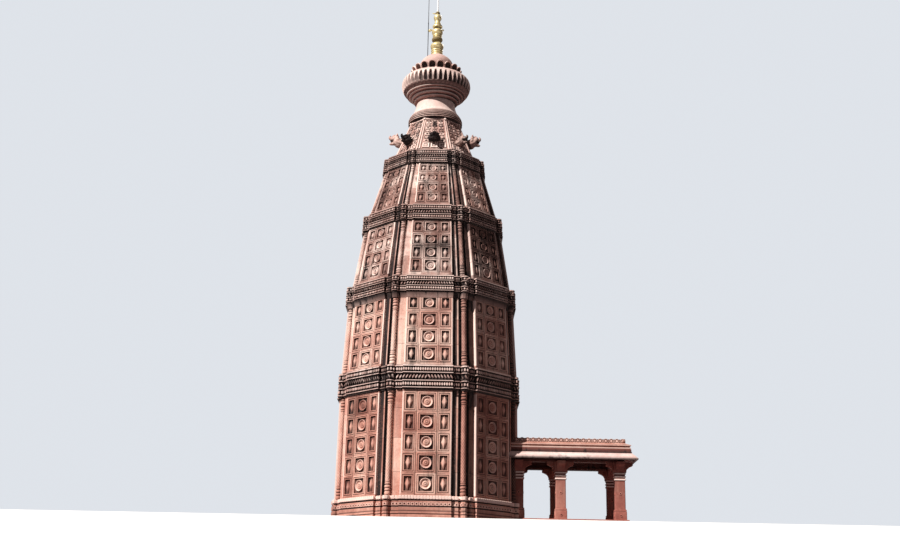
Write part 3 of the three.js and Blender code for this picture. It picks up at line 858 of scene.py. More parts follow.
def bead(width: float, height: float, thickness: float) -> Shell:
    """A round bead: half of an egg-shaped body, painted dark as shade where it meets the stone and pale in
    front as a highlight.
    """
    w, h = width / 2, height / 2
    return carved([[w, h, 2.3, -0.012, 0.9], [w, h, 2.3, thickness * 0.35, 0.15],
                   [w * 0.72, h * 0.74, 2, thickness * 0.9, -0.45]], 8)


def leaf(width: float, height: float, thickness: float, slant: float) -> Shell:
    """A leaf laid over: a pointed oval with a raised rib, its top pushed sideways by slant times its height.

    Args:
        width, height, thickness: Its sizes.
        slant: How far it leans.

    Returns:
        The shell.
    """
    w, h = width / 2, height / 2
    # Painted shade: dark where the leaf meets the stone.
    shape = carved([[w, h, 1.5, -0.012, 0.9], [w, h, 1.5, thickness * 0.4, 0.35],
                    [w * 0.45, h * 0.8, 1.2, thickness, 0]], 8)
    x, y, z = shape.points.T
    return shape.moved(np.stack([x + slant * y, y, z], -1))


# The tower's parts


@dataclass
class Tapered:
    """A part of the tower that narrows evenly.

    Attributes:
        foot, head: The heights it spans.
        foot_apothem, head_apothem: The slab's distance from the axis at both.
    """

    foot: float
    head: float
    foot_apothem: float
    head_apothem: float

    def apothem(self, z: Number) -> Number:
        """The slab's distance from the axis at a height."""
        part = (z - self.foot) / (self.head - self.foot)
        return self.foot_apothem + (self.head_apothem - self.foot_apothem) * part


@dataclass
class Stage(Tapered):
    """One panelled stage and its rows of panels.

    Attributes:
        number: 1 is the lowest.
        inner: The hollow's distance from the axis at the foot.
        centres: The heights of the panel rows.
        recesses: Half the height of each row's sunk field.
        discs: The radius of each row's medallion.
        courses: The heights of the joints in the strips.
        node: The CAD node that an upper stage stands for.
        finish: Its stone.
        tones: How light the stone of each side is: partly its own tone, partly painted light that sets how
        bright each side looks under the lamp.
        stains: Soft dark patches: side, place across and up, half width, half height, strength.
        field_soot_and_shade: How dark the sunk fields of its panels are painted, as shade in the recesses.
        door_half, door_top: Half the doorway's width, and its head.
        pier_joint: The height of the joint in the stones beside it.
    """

    number: int
    inner: float
    centres: tuple[float, ...]
    recesses: tuple[float, ...]
    discs: tuple[float, ...]
    courses: tuple[float, ...]
    node: str = ""
    finish: Stone = SANDSTONE
    tones: tuple[float, ...] = (0.0,) * 8
    stains: tuple[tuple, ...] = ()
    field_soot_and_shade: float = 0.85
    door_half: float = 0.55
    door_top: float = 2.35
    pier_joint: float = 1.62

    PARTS = (-1.0, -STRIP_PART, -STRIP_PART, -STRIP_PART + 0.009, -SLAB_PART, -SLAB_PART,
             SLAB_PART, SLAB_PART, STRIP_PART - 0.062, STRIP_PART - 0.054, STRIP_PART - 0.024,
             STRIP_PART - 0.016,
             STRIP_PART, STRIP_PART, 1.0)
    DEPTHS = (WALL_DEPTH, WALL_DEPTH, STRIP_DEPTH + 0.012, STRIP_DEPTH, STRIP_DEPTH, POCKET_DEPTH,
              POCKET_DEPTH, STRIP_DEPTH, STRIP_DEPTH, STRIP_DEPTH, STRIP_DEPTH, STRIP_DEPTH, STRIP_DEPTH,
              WALL_DEPTH, WALL_DEPTH)

    # Which stone of its course each column of PARTS belongs to.
    BANDS = (0, 0, 1, 1, 1, 2, 2, 3, 3, 3, 3, 3, 3, 4, 4)

    # The joints between courses: half their width, and their depth.
    COURSE_HALF = 0.006
    COURSE_DEPTH = 0.012

    # Rain soot under the cornice and above the foot: how far it reaches and how strong it is.
    UNDER = (0.55, 0.28)
    ABOVE = (0.35, 0.12)

    # The half widths of a panel, its frame and its field, as parts of the slab's where they fit it.
    BIG = (0.409, 0.336, 0.2785)
    SMALL = (0.2955, 0.2135, 0.16)
    SMALL_PLACE = 0.7045
    FIT = 0.98

    # The frame's distance from the field, its groove's half width and depth, and where field and back lie.
    FRAME = 0.045
    GROOVE = 0.014
    GROOVE_DEPTH = 0.024
    FIELD_DEPTH = 0.064
    BACK = -POCKET_DEPTH - 0.005

    # The medallion from its edge to its middle: part of its radius, depth at the largest radius, and soot,
    # which paints the rims pale as highlight and the dish and the ring's groove dark as shade.
    DISH_RADIUS = 0.22
    DISH = ((1, -0.014, 0.1), (0.95, 0, -0.35), (0.9, 0, -0.35), (0.7, -0.048, -0.15), (0.6, -0.052, 0.4),
            (0.5, -0.03, 0.1), (0.34, -0.016, 0), (0.24, -0.022, 0.55), (0.17, -0.024, 0.3), (0.1, -0.008, 0))

    # The soot and painted shadow of each column of PARTS: painted black right of a slab, where its shadow
    # falls, with a pale sliver and a black corner wall beyond; clean left of it.
    STRIP_SOOT = (0.55, 0.25, 0.0, -0.15, 0.0, 0.3, 0.5, 1.0, 0.95, 0.1, 0.1, 0.95, 1.0, 1.0, 1.0)

    # How dark the strips left of each side's slab are painted: painted shade on the sides turned from the
    # lamp.
    LEFT_STRIP_SHADE = (0.9, 0.5, 0.2, 0.0, 0.0, 0.0, 0.0, 0.85)

    # The lightness and the soot of each side's far corner column, which also paint light: the sunlit
    # south-west's is lighter, the half-shaded south's darker and the shaded south-east side's black.
    COLUMN_TONES = (0.0, 0.2, 0.3, 0.5, 0.5, 1.1, -0.9, -1.0)
    COLUMN_SOOT = (0.4, 0.2, 0.1, 0.0, 0.0, 0.0, 0.2, 0.7)

    # A corner column's shaft radius, how far it is cut in and out, and the spacing of the cuts.
    SHAFT = 0.094
    WEAVE = 0.008
    WEAVE_PITCH = 0.066

    # Its rings, as the height from its foot or its head, half the height and how far it stands out.
    FOOT_RINGS = ((0.1, 0.075, 0.03), (0.235, 0.05, 0.026), (0.35, 0.055, 0.03), (0.47, 0.035, 0.022),
                  (0.54, 0.028, 0.018))
    HEAD_RINGS = ((0.06, 0.05, 0.03), (0.17, 0.05, 0.026), (0.29, 0.055, 0.03), (0.42, 0.045, 0.024),
                  (0.5, 0.028, 0.018))

    @property
    def panel_unit(self) -> float:
        """The slab's half width that the panels are made to."""
        return self.foot_apothem * SLAB_PART * HALF_SIDE * self.FIT

    def __post_init__(self) -> None:
        """Starts the stage's own row of random shades."""
        self.random = np.random.default_rng(40 + self.number)

    def scale(self, z: Number) -> Number:
        """What the depths are multiplied by at a height."""
        return self.apothem(z) / FIRST_APOTHEM

    def soot(self, z: Number) -> Number:
        """Rain soot, which fades in a straight line away from the cornice and from the foot.

        Args:
            z: The height.

        Returns:
            The soot there.
        """
        under = np.clip(1 - (self.head - z) / self.UNDER[0], 0, 1)
        above = np.clip(1 - (z - self.foot) / self.ABOVE[0], 0, 1)
        return self.UNDER[1] * under + self.ABOVE[1] * above

    def core_rows(self) -> tuple[Array, Array, Array]:
        """The core's levels: a joint is three of them, its edges and its bottom.

        Returns:
            Their heights, how far they are moved outwards and the course each belongs to.
        """
        heights, out, course = [self.foot], [0.0], [0]
        for number, joint in enumerate(self.courses):
            heights += [joint - self.COURSE_HALF, joint, joint + self.COURSE_HALF]
            out += [0.0, -self.COURSE_DEPTH, 0.0]
            course += [number, number, number + 1]
        return np.array(heights + [self.head]), np.array(out + [0]), np.array(course + [len(self.courses)])

    def core(self, side: Side | None) -> Shell:
        """The masonry behind the panels, of one side or of all, hollow inside.

        Args:
            side: The side, or None for all.

        Returns:
            The shell.
        """
        z, out, course = self.core_rows()
        apothem = self.apothem(z)
        outward, along = Levels(apothem, self.scale(z), out).side(self.PARTS, self.DEPTHS)
        inner = self.inner * apothem / self.foot_apothem
        group = np.array(self.BANDS)
        shades = self.random.uniform(-1, 1, (SIDES, len(self.courses) + 1, max(self.BANDS) + 1))
        # Each side's tone, partly painted light.
        shades += np.array(self.tones)[:, None, None]
        # Painted shade on the left strips of the sides turned from the lamp, with the strips' soot and
        # painted shadow.
        left = np.array(self.LEFT_STRIP_SHADE)[:, None, None] * (np.arange(len(self.PARTS)) < 5)
        soot = self.soot(z)[:, None] + np.array(self.STRIP_SOOT) + 0.7 * (out < 0)[:, None] + left
        if side is not None:
            outer = on_side(side.angle, outward, along, z[:, None])
            inside = on_side(side.angle, *inner_plan(outward, along, inner), z[:, None])
            return hollow_ring(outer, inside, soot[side.value], shades[side.value][course][:, group],
                               closed=False)
        keep = slice(1, None)
        outer = all_round(outward[:, keep], along[:, keep], z)
        inside = all_round(*inner_plan(outward[:, keep], along[:, keep], inner), z)
        shade = shades[:, course][:, :, group[keep]].transpose(1, 0, 2).reshape(len(z), -1)
        return hollow_ring(outer, inside, np.hstack(list(soot[:, :, keep])), shade)

    def door_core(self) -> Shell:
        """The side with the doorway: the columns of PARTS left of it, right of it, and a block over it.

        Returns:
            The three closed shells as one.
        """
        z, out, _ = self.core_rows()
        blocks = []
        for first, last, foot in ((0, 6, self.foot), (6, 15, self.foot), (5, 7, self.door_top)):
            level = np.unique(np.concatenate([[foot], z[z > foot]]))
            apothem = self.apothem(level)
            levels = Levels(apothem, self.scale(level), np.interp(level, z, out))
            outward, along = levels.side(self.PARTS[first:last], self.DEPTHS[first:last])
            edge = np.full((len(level), 1), self.door_half)
            pocket = outward[:, -1:] if first == 0 else outward[:, :1]
            if first == 0:
                outward, along = np.hstack([outward, pocket]), np.hstack([along, -edge])
            elif first == 6:
                outward, along = np.hstack([pocket, outward]), np.hstack([edge, along])
            else:
                along = np.hstack([-edge, edge])
            inner = self.inner * apothem / self.foot_apothem
            inside_out, inside_along = inner_plan(outward, along, inner)
            inside_along = np.where(abs(along) == self.door_half, along, inside_along)
            angle = Side.EAST.angle
            blocks.append(hollow_ring(on_side(angle, outward, along, level[:, None]),
                                      on_side(angle, inside_out, inside_along, level[:, None]), 0.2, 0,
                                      closed=False))
        return Shell.join(blocks)

    def on_slab(self, side: Side, shape: Shell, part: float, centre: float) -> Shell:
        """Lays a carving on the slab, its width drawn in with the slab as it narrows.

        A point (x, y, depth) goes to z = centre + y, along = (part + x / w(centre)) w(z), where w is the
        slab's half width, and outward = apothem(z) + depth.

        Args:
            side, shape: The side and the carving.
            part, centre: Its middle's place, as a part of the slab's half width, and height.

        Returns:
            The carving in its place, with the side's tone, partly painted light, and its stains.
        """
        x, y, depth = shape.points.T
        z = centre + y
        width = SLAB_PART * HALF_SIDE
        across = part + x / (width * self.apothem(centre))
        stain = np.zeros(len(z))
        for where, middle, height, half_width, half_height, strength in self.stains:
            if where is side:
                stain += strength * np.exp(-((across - middle) / half_width) ** 2 - ((z - height)
                                                                                     / half_height) ** 2)
        placed = shape.moved(on_side(side.angle, self.apothem(z) + depth, across * width * self.apothem(z),
                                     z))
        return placed.shaded(stain, self.tones[side.value])

    def framed(self, fw: float, fh: float, rw: float, rh: float) -> list[list[float]]:
        """The outlines of a panel's frame, of half sizes fw and fh, and of its field's rim, rw and rh;
        the groove is painted black as shade.
        """
        cut = self.GROOVE
        return [[fw + cut, fh + cut, SQUARE, 0, 0.1], [fw, fh, SQUARE, -self.GROOVE_DEPTH, 1],
                [fw - cut, fh - cut, SQUARE, 0, 0.2], [rw, rh, SQUARE, 0, -0.05]]

    def big_panel(self, half_height: float, recess: float, disc: float) -> Shell:
        """A square panel: an incised frame, a sunk field and a dished medallion with a ring and a boss.

        Args:
            half_height, recess: Half the panel's height and half the field's.
            disc: The medallion's radius.

        Returns:
            The shell.
        """
        w, fw, rw = (part * self.panel_unit for part in self.BIG)
        w, h, sunk = w - JOINT, half_height - JOINT, -self.FIELD_DEPTH
        # Painted shade in the groove and the sunk field; painted highlight on the medallion's rims.
        loops = [
            [w, h, SQUARE, self.BACK, 0.3], [w, h, SQUARE, -0.006, 0.5], [w - 0.014, h - 0.014, SQUARE, 0, 0],
            *self.framed(fw, recess + self.FRAME, rw, recess),
            [rw - 0.004, recess - 0.004, SQUARE, sunk, self.field_soot_and_shade - 0.1], [disc, disc, 2, sunk,
                                                                                self.field_soot_and_shade],
        ]
        loops += [[disc * part, disc * part, 2, depth * disc / self.DISH_RADIUS, soot] for part, depth,
                  soot in self.DISH]
        return carved(loops, 16)

    def small_panel(self, half_height: float, recess: float) -> Shell:
        """A narrow panel: an incised frame, a sunk field and an upright spindle pointed at both ends.

        Everything inside its edge is moved a little towards the big panel.

        Args:
            half_height, recess: Half the panel's height and half the field's.

        Returns:
            The shell.
        """
        w, fw, rw = (part * self.panel_unit for part in self.SMALL)
        w, h, rh, shift = w - JOINT, half_height - JOINT, recess, 0.0125 * self.panel_unit
        # Painted highlight on the outer edge, which catches the lamp beside the strip; painted shade in the
        # groove and the sunk field.
        shape = carved([
            [w, h, SQUARE, self.BACK, -0.5], [w, h, SQUARE, -0.012, -0.8],
            [w - 0.012, h, SQUARE, 0, -0.7], [w - 0.045, h, SQUARE, 0, -0.1],
            *self.framed(fw, rh + self.FRAME, rw, rh),
            [rw - 0.004, rh - 0.004, SQUARE, -self.FIELD_DEPTH, self.field_soot_and_shade],
            [rw * 0.8, rh * 0.95, 1, -0.06, self.field_soot_and_shade - 0.1], [rw * 0.52, rh * 0.7, 1, -0.02, 0.15],
            [rw * 0.14, rh * 0.42, 1, 0, -0.15],
        ], 8)
        x, y, z = shape.points.T
        joint = (np.maximum(abs(x) / w, abs(y) / h) > 0.9) & (x < w - 0.05)
        points = np.stack([x - shift * (abs(x) < w - 1e-6), y, z], -1)
        return Shell(points, shape.faces, np.where(joint, 0.4, shape.soot), shape.shade)

    def plain_stone(self, half_width: float, half_height: float) -> Shell:
        """A plain stone of the slab with worn edges."""
        w, h = half_width - JOINT, half_height - JOINT
        return carved([[w, h, SQUARE, self.BACK, 0.3], [w, h, SQUARE, -0.008, 0.1],
                       [w - 0.008, h - 0.008, SQUARE, 0, 0]], 8)

    def slab(self, side: Side) -> Shell:
        """All the panels of one side, with the plain courses under and over them.

        Args:
            side: The side.

        Returns:
            The panels and stones as one shell.
        """
        centres = np.array(self.centres)
        edges = (centres[1:] + centres[:-1]) / 2
        edges = np.concatenate([[2 * centres[0] - edges[0]], edges, [2 * centres[-1] - edges[-1]]])
        door = side is Side.EAST and self.number == 1
        pieces = []
        for row, (centre, recess, disc) in enumerate(zip(centres, self.recesses, self.discs)):
            if door and centre < self.door_top + 0.3:
                continue
            low, high = edges[row], edges[row + 1]
            middle = (low + high) / 2
            big = self.big_panel((high - low) / 2, recess, disc)
            small = self.small_panel((high - low) / 2, recess)
            mirrored = small.moved(small.points * [-1, 1, 1])
            mirrored.faces = mirrored.faces[:, ::-1]
            for shape, part in ((big, 0), (small, self.SMALL_PLACE), (mirrored, -self.SMALL_PLACE)):
                stained = self.soot(centre) * self.random.uniform(0.3, 1.6)
                pieces.append(self.on_slab(side, shape.shaded(stained, self.random.uniform(-1, 1)), part,
                                           middle))
        for low, high in ((self.foot, edges[0]), (edges[-1], self.head)):
            if high - low > 0.03 and not (door and low < self.door_top):
                middle = (low + high) / 2
                for place in (-1, 0, 1):
                    size = (self.SMALL if place
                            else self.BIG)[0] * self.apothem(middle) * SLAB_PART * HALF_SIDE
                    stone = self.plain_stone(size, (high - low) / 2).shaded(self.soot(low),
                                                                            self.random.uniform(-1, 1))
                    pieces.append(self.on_slab(side, stone, place * self.SMALL_PLACE, middle))
        return Shell.join(pieces + (self.door_stones(edges[2]) if door else []))

    def door_stones(self, top: float) -> list[Shell]:
        """The plain piers left and right of the doorway, its lintel and the raised surround.

        Args:
            top: The height up to which the stones reach.

        Returns:
            The stones.
        """
        stones = []
        width = self.foot_apothem * SLAB_PART * HALF_SIDE
        for low, high in ((self.foot, self.pier_joint), (self.pier_joint, top)):
            pier = self.plain_stone((width - self.door_half) / 2, (high - low) / 2)
            for sign in (-1, 1):
                part = sign * (width + self.door_half) / 2 / width
                shade = self.random.uniform(-1, 1)
                stones.append(self.on_slab(Side.EAST, pier.shaded(0.1, shade), part, (low + high) / 2))
        lintel = self.plain_stone(self.door_half, (top - self.door_top) / 2)
        stones.append(self.on_slab(Side.EAST, lintel, 0, (top + self.door_top) / 2))
        face = self.foot_apothem - 0.01
        jamb = squared([[0.03, 0.05, self.foot, 0.1], [0.03, 0.05, self.door_top + 0.1, 0.1]], (0, 0), 0.01)
        for sign in (-1, 1):
            stones.append(jamb.moved(jamb.points + [face, sign * (self.door_half + 0.055), 0]))
        levels = [[0.034, self.door_half + 0.12, self.door_top + rise, 0.1] for rise in (0.005, 0.11)]
        return stones + [squared(levels, (face, 0), 0.01)]

    def corner_column(self, side: Side) -> Shell:
        """The slender round column at the side's far corner, leaning with the wall.

        Half-round rings, extra sqrt(1 - ((z - ring) / half)^2), are added to its radius at both ends; along
        the shaft, points lie in and out by turns, which cuts it into small lozenges.

        Args:
            side: The side.

        Returns:
            The shell.
        """
        scale = self.scale(self.foot)
        foot = self.foot + 0.05 * (self.number == 1)
        rings = [(foot + height * scale, half * scale, extra * scale) for height, half,
                 extra in self.FOOT_RINGS]
        rings += [(self.head - height * scale, half * scale, extra * scale) for height, half,
                  extra in self.HEAD_RINGS]
        shaft_foot, shaft_head = self.foot + 0.62 * scale, self.head - 0.56 * scale
        fine = np.concatenate([ring[0] + ring[1] * np.sin(np.linspace(-1.5, 1.5, 7)) for ring in rings])
        shaft = np.linspace(shaft_foot, shaft_head, int((shaft_head - shaft_foot) / self.WEAVE_PITCH))
        z = np.unique(np.concatenate([[self.foot - 0.02, self.head + 0.02], fine, shaft]))
        centre, half, extra = np.array(rings).T[:, :, None]
        swell = (extra * np.sqrt(np.clip(1 - ((z - centre) / half) ** 2, 0, 1))).max(axis=0)
        near = (z < shaft_foot) | (z > shaft_head)
        columns = 16
        weave = np.where((np.arange(len(z))[:, None] + np.arange(columns)) % 2, 1, -1) * ~near[:, None]
        base = self.SHAFT * np.clip(self.apothem(z), self.head_apothem, self.foot_apothem) / self.foot_apothem
        radius = (base * scale + swell - self.WEAVE * near)[:, None] + self.WEAVE * weave
        wall = (self.apothem(z) - WALL_DEPTH * self.scale(z))[:, None]
        b = np.arange(columns) * math.tau / columns
        points = on_side(side.angle, wall + radius * np.cos(b), wall * HALF_SIDE + radius * np.sin(b),
                         z[:, None])
        # Painted shade: black in the gaps between the rings and in the cut-in points of the shaft; the points
        # that stand out are painted pale as highlight.
        gap = np.where(near, np.clip(1 - swell / 0.012, 0, 1) * 0.9, 0.1)[:, None]
        soot = gap + self.soot(z)[:, None] * 0.5 + self.COLUMN_SOOT[side.value]
        soot = soot + np.select([weave < 0, weave > 0], [0.35, -0.45])
        return capped(points, soot, self.COLUMN_TONES[side.value] + self.random.uniform(-0.3, 0.3))

    def build(self, shop: Workshop) -> None:
        """Makes the stage: one piece for each wall of the lowest stage, one for each upper stage.

        Args:
            shop: The workshop.
        """
        if self.number > 1:
            parts = [self.core(None)] + [make(side) for side in Side for make in (self.slab,
                                                                                  self.corner_column)]
            shop.piece(f"{self.node}_carved", self.node, Shell.join(parts), self.finish)
            return
        for side in Side:
            door = side is Side.EAST
            parts = [self.door_core() if door else self.core(side), self.slab(side), self.corner_column(side)]
            name = "doorway_wall" if door else f"lower_wall_{side.word}"
            shop.piece(f"{name}_carved", name, Shell.join(parts), self.finish)


@dataclass
class Cornice(Tapered):
    """A carved cornice that breaks forward over the slabs and the corner columns.

    Attributes:
        number: 1 is the lowest.
        inner: The hollow's distance from the axis.
        leaf_pitch: The spacing of the leaves in its sunk band.
        course_foot: Where the plain course under it starts, if it has one.
        wall_apothem: The wall's distance from the axis at that course.
        grime: Soot over the whole of it.
        bead_pitch: The spacing of the beads.
    """

    number: int
    inner: float
    leaf_pitch: float
    course_foot: float | None = None
    wall_apothem: float = 0.0
    grime: float = 0.0
    bead_pitch: float = 0.094

    EXTRA = 0.035
    # Each level's part of the height, set-back and soot: fillets stand proud and are painted pale as
    # highlight, beds lie back and are painted black as shade.
    LEVELS = (
        (0, 0.05, 1), (0.045, 0.046, 1), (0.06, 0.008, 0.7), (0.068, 0, -0.4), (0.092, 0, -0.6),
        (0.102, 0.01, 1), (0.118, 0.062, 1), (0.325, 0.062, 1), (0.336, 0.01, 0.8), (0.344, 0, -0.4),
        (0.37, 0, -0.6), (0.38, 0.01, 1), (0.4, 0.075, 1), (0.44, 0.08, 1), (0.61, 0.08, 1),
        (0.65, 0.07, 1), (0.662, 0.01, 0.8), (0.67, 0, -0.4), (0.696, 0, -0.6), (0.706, 0.012, 1),
        (0.727, 0.06, 1), (0.91, 0.06, 1), (0.922, 0.01, 0.8), (0.932, 0, -0.4), (0.96, 0, -0.6),
        (1, 0.012, 0.8),
    )
    # What soot and painted shadow each column of the plan adds: the walls and strips right of the slabs,
    # where the slabs' shadow falls, are painted black.
    COLUMN_SOOT = (0.3, 0.15, 0.1, 0.0, 0.0, 0.7, 0.9, 0.9, 0.6, 0.3, 0.1, 0.0, 0.0, 0.0, 0.0)
    # What soot each side adds.
    SIDE_SOOT = (0.3, 0.3, 0.1, 0.0, 0.1, 0.35, 0.0, 0.15)
    # The carved bands: their middle and height as parts of the cornice's height, and their depth.
    ROWS = ((Row.BEADS, 0.222, 0.15, 0.062), (Row.LEAVES, 0.525, 0.185, 0.08), (Row.BEADS, 0.82, 0.15, 0.062))

    def build(self, shop: Workshop) -> None:
        """Makes the cornice: the moulded ring, two rows of beads, the row of leaves.

        Args:
            shop: The workshop.
        """
        scale = self.foot_apothem / FIRST_APOTHEM
        part, back, soot = np.array(self.LEVELS).T
        z = self.foot + (self.head - self.foot) * part
        apothem = self.apothem(z)
        out = -back * scale
        if self.course_foot is not None:
            z = np.concatenate([[self.course_foot, self.course_foot + 0.03, self.foot - 0.03], z])
            apothem = np.concatenate([[self.wall_apothem + 0.01, self.wall_apothem + 0.015,
                                       self.foot_apothem - 0.055], apothem])
            out = np.concatenate([[0, 0, 0], out])
            soot = np.concatenate([[0.3, 0.25, 0.75], soot])
        outward, along = Levels(apothem, scale, out).moulded(self.EXTRA)
        inside = all_round(*inner_plan(outward, along, self.inner), z)
        random = np.random.default_rng(70 + self.number)
        added = np.tile(self.COLUMN_SOOT, SIDES) + np.repeat(self.SIDE_SOOT,
                                                             len(self.COLUMN_SOOT)) + self.grime
        stained = np.clip(soot[:, None] + added, -1, 1)
        parts = [hollow_ring(all_round(outward, along, z), inside, stained)]
        for row, middle, size, bed in self.ROWS:
            height = (self.head - self.foot) * size
            place = self.foot + (self.head - self.foot) * middle
            at = self.apothem(place)
            pitch = self.bead_pitch if row is Row.BEADS else self.leaf_pitch
            places, angles, along = run_places(at, scale, -bed * scale, place, pitch, self.EXTRA)
            if row is Row.BEADS:
                shapes = [(along > -np.inf, bead(pitch * 0.86, height, 0.06 * scale))]
            else:
                shapes = [(along < 0, leaf(pitch * 0.7, height, 0.066 * scale, 0.45)),
                          (along >= 0, leaf(pitch * 0.7, height, 0.066 * scale, -0.45))]
            for which, shape in shapes:
                parts.append(self.row(shape, (places[which], angles[which], along[which]), random))
        name = f"cornice_{self.number}"
        shop.piece(f"{name}_carved", name, Shell.join(parts), CORNICE_STONE)

    def row(self, shape: Shell, run: tuple[Array, Array, Array], random: np.random.Generator) -> Shell:
        """One row of a carving, each with its own soot, and painted black where it stands right of a slab, in
        the slab's shadow.

        Args:
            shape: The carving.
            run: The places, directions and distances from the sides' middles.
            random: What the shades are drawn from.

        Returns:
            The whole row.
        """
        places, angles, along = run
        part = along / (self.foot_apothem * HALF_SIDE)
        painted_slab_shadow = np.clip((part - SLAB_PART) * 12, 0, 1) * np.clip((0.93 - part) * 12, 0, 1)
        by_side = np.array(self.SIDE_SOOT)[np.round(angles / SIDE_ANGLE).astype(int) % SIDES]
        soot = random.uniform(0.0, 0.35, len(places)) ** 2 * 2 + 0.8 * painted_slab_shadow + by_side + self.grime
        return shape.stamped(places, angles, soot, random.uniform(-0.5, 1, len(places)))


@dataclass
class Base:
    """The plinth and the base moulding, with its beaded roll and its band of drilled rosettes."""

    apothem: float = 3.75
    inner: float = 2.9
    door_half: float = 0.55

    # Levels as their height, their set-back and their soot, which paints shade in the set-back grooves and
    # highlight on the roll.
    PLINTH = ((0, 0, 0.3), (0.005, 0, 0.1), (0.15, 0, 0), (0.16, 0.004, 0.1), (0.17, 0.016, 0.9),
              (0.19, 0.016, 0.9), (0.2, 0, 0.1), (0.262, 0, 0), (0.272, 0.01, 0.6), (0.3, 0.014, 0.8))
    MOULDING = ((0.3, 0.014, 0.8), (0.312, 0.006, 0.2), (0.425, 0.006, 0.1), (0.44, 0.02, 0.8), (0.47, 0.05,
                                                                                                 1),
                (0.485, 0.03, 0.3), (0.49, 0.028, 0), (0.6, 0.028, 0), (0.61, 0.015, 0), (0.655, 0.012, 0),
                (0.668, 0.03, 0.8), (0.69, 0.062, 1), (0.708, 0.06, 1), (0.716, 0.022, -0.3), (0.735, 0.008,
                                                                                               -0.6),
                (0.765, 0, -0.6), (0.8, 0.008, -0.6), (0.835, 0.026, -0.6), (0.862, 0.06, -0.3),
                (0.872, 0.095, 0.3))

    # The carvings of the roll and of the band, and their runs: distance from the plan, height, spacing.
    # The carvings are painted pale on their faces as highlight and black in the rosettes' drilled middles as
    # shade.
    ROLL = ((0.057, 0.07, SQUARE, -0.02, 0.2), (0.055, 0.068, SQUARE, 0.002, -0.5), (0.046, 0.06, 4, 0.014,
                                                                                     -0.7))
    ROLL_RUN = (-0.012, 0.79, 0.118)
    ROSETTE = ((0.066, 0.056, SQUARE, -0.03, 0.6), (0.066, 0.056, SQUARE, 0.024, -0.2),
               (0.058, 0.048, SQUARE, 0.026, -0.4), (0.03, 0.03, 2, 0.024, 0.1), (0.025, 0.025, 2, 0.003, 1))
    ROSETTE_RUN = (-0.028, 0.545, 0.15)

    def plan(self, levels: Table) -> tuple[Array, Array, Array, Array]:
        """The plan, the heights and the soot, as a column, of [height, set-back, soot] levels."""
        z, back, soot = np.array(levels).T
        return *Levels(self.apothem, 1, -back).moulded(), z, soot[:, None]

    def moulding(self) -> Shell:
        """The moulding: a ring with a gap at the doorway, whose ends are square to the wall.

        Returns:
            The shell.
        """
        outward, along, z, soot = self.plan(self.MOULDING)
        outer = all_round(outward, along, z)
        inside = all_round(*inner_plan(outward, along, self.inner), z)
        jamb = np.full((len(z), 1), self.door_half)
        back = np.full_like(jamb, self.inner)
        right = [on_side(0, distance, jamb, z[:, None]) for distance in (outward[:, 4:5], back)]
        left = [on_side(0, distance, -jamb, z[:, None]) for distance in (outward[:, 3:4], back)]
        outer, inside = (np.concatenate([right[i], grid[:, 4:], grid[:, :4], left[i]], axis=1)
                         for i, grid in enumerate((outer, inside)))
        return hollow_ring(outer, inside, soot, closed=False)

    def run(self, out: float, z: float, pitch: float) -> tuple[Array, Array]:
        """Evenly spaced places round the base that don't stand in the doorway.

        Args:
            out, z: How far they stand in front of the plan, and their height.
            pitch: The spacing aimed at.

        Returns:
            The places and the direction each faces.
        """
        places, angles, _ = run_places(self.apothem, 1.0, out, z, pitch)
        keep = (places[:, 0] < 3.0) | (abs(places[:, 1]) > self.door_half + 0.05)
        return places[keep], angles[keep]

    def build(self, shop: Workshop) -> None:
        """Makes the plinth and the moulding.

        Args:
            shop: The workshop.
        """
        random = np.random.default_rng(11)
        outward, along, z, soot = self.plan(self.PLINTH)
        shop.piece("plinth_courses", "plinth", capped(all_round(outward, along, z), soot), SANDSTONE)
        parts = [self.moulding()]
        for carving, run, shades in ((self.ROLL, self.ROLL_RUN, (0.2, 1.2)), (self.ROSETTE, self.ROSETTE_RUN,
                                                                              (-0.4, 0.8))):
            places, angles = self.run(*run)
            parts.append(carved(carving, 8).stamped(places, angles, 0, random.uniform(*shades, len(places))))
        shop.piece("base_moulding_carved", "base_moulding", Shell.join(parts), SANDSTONE)


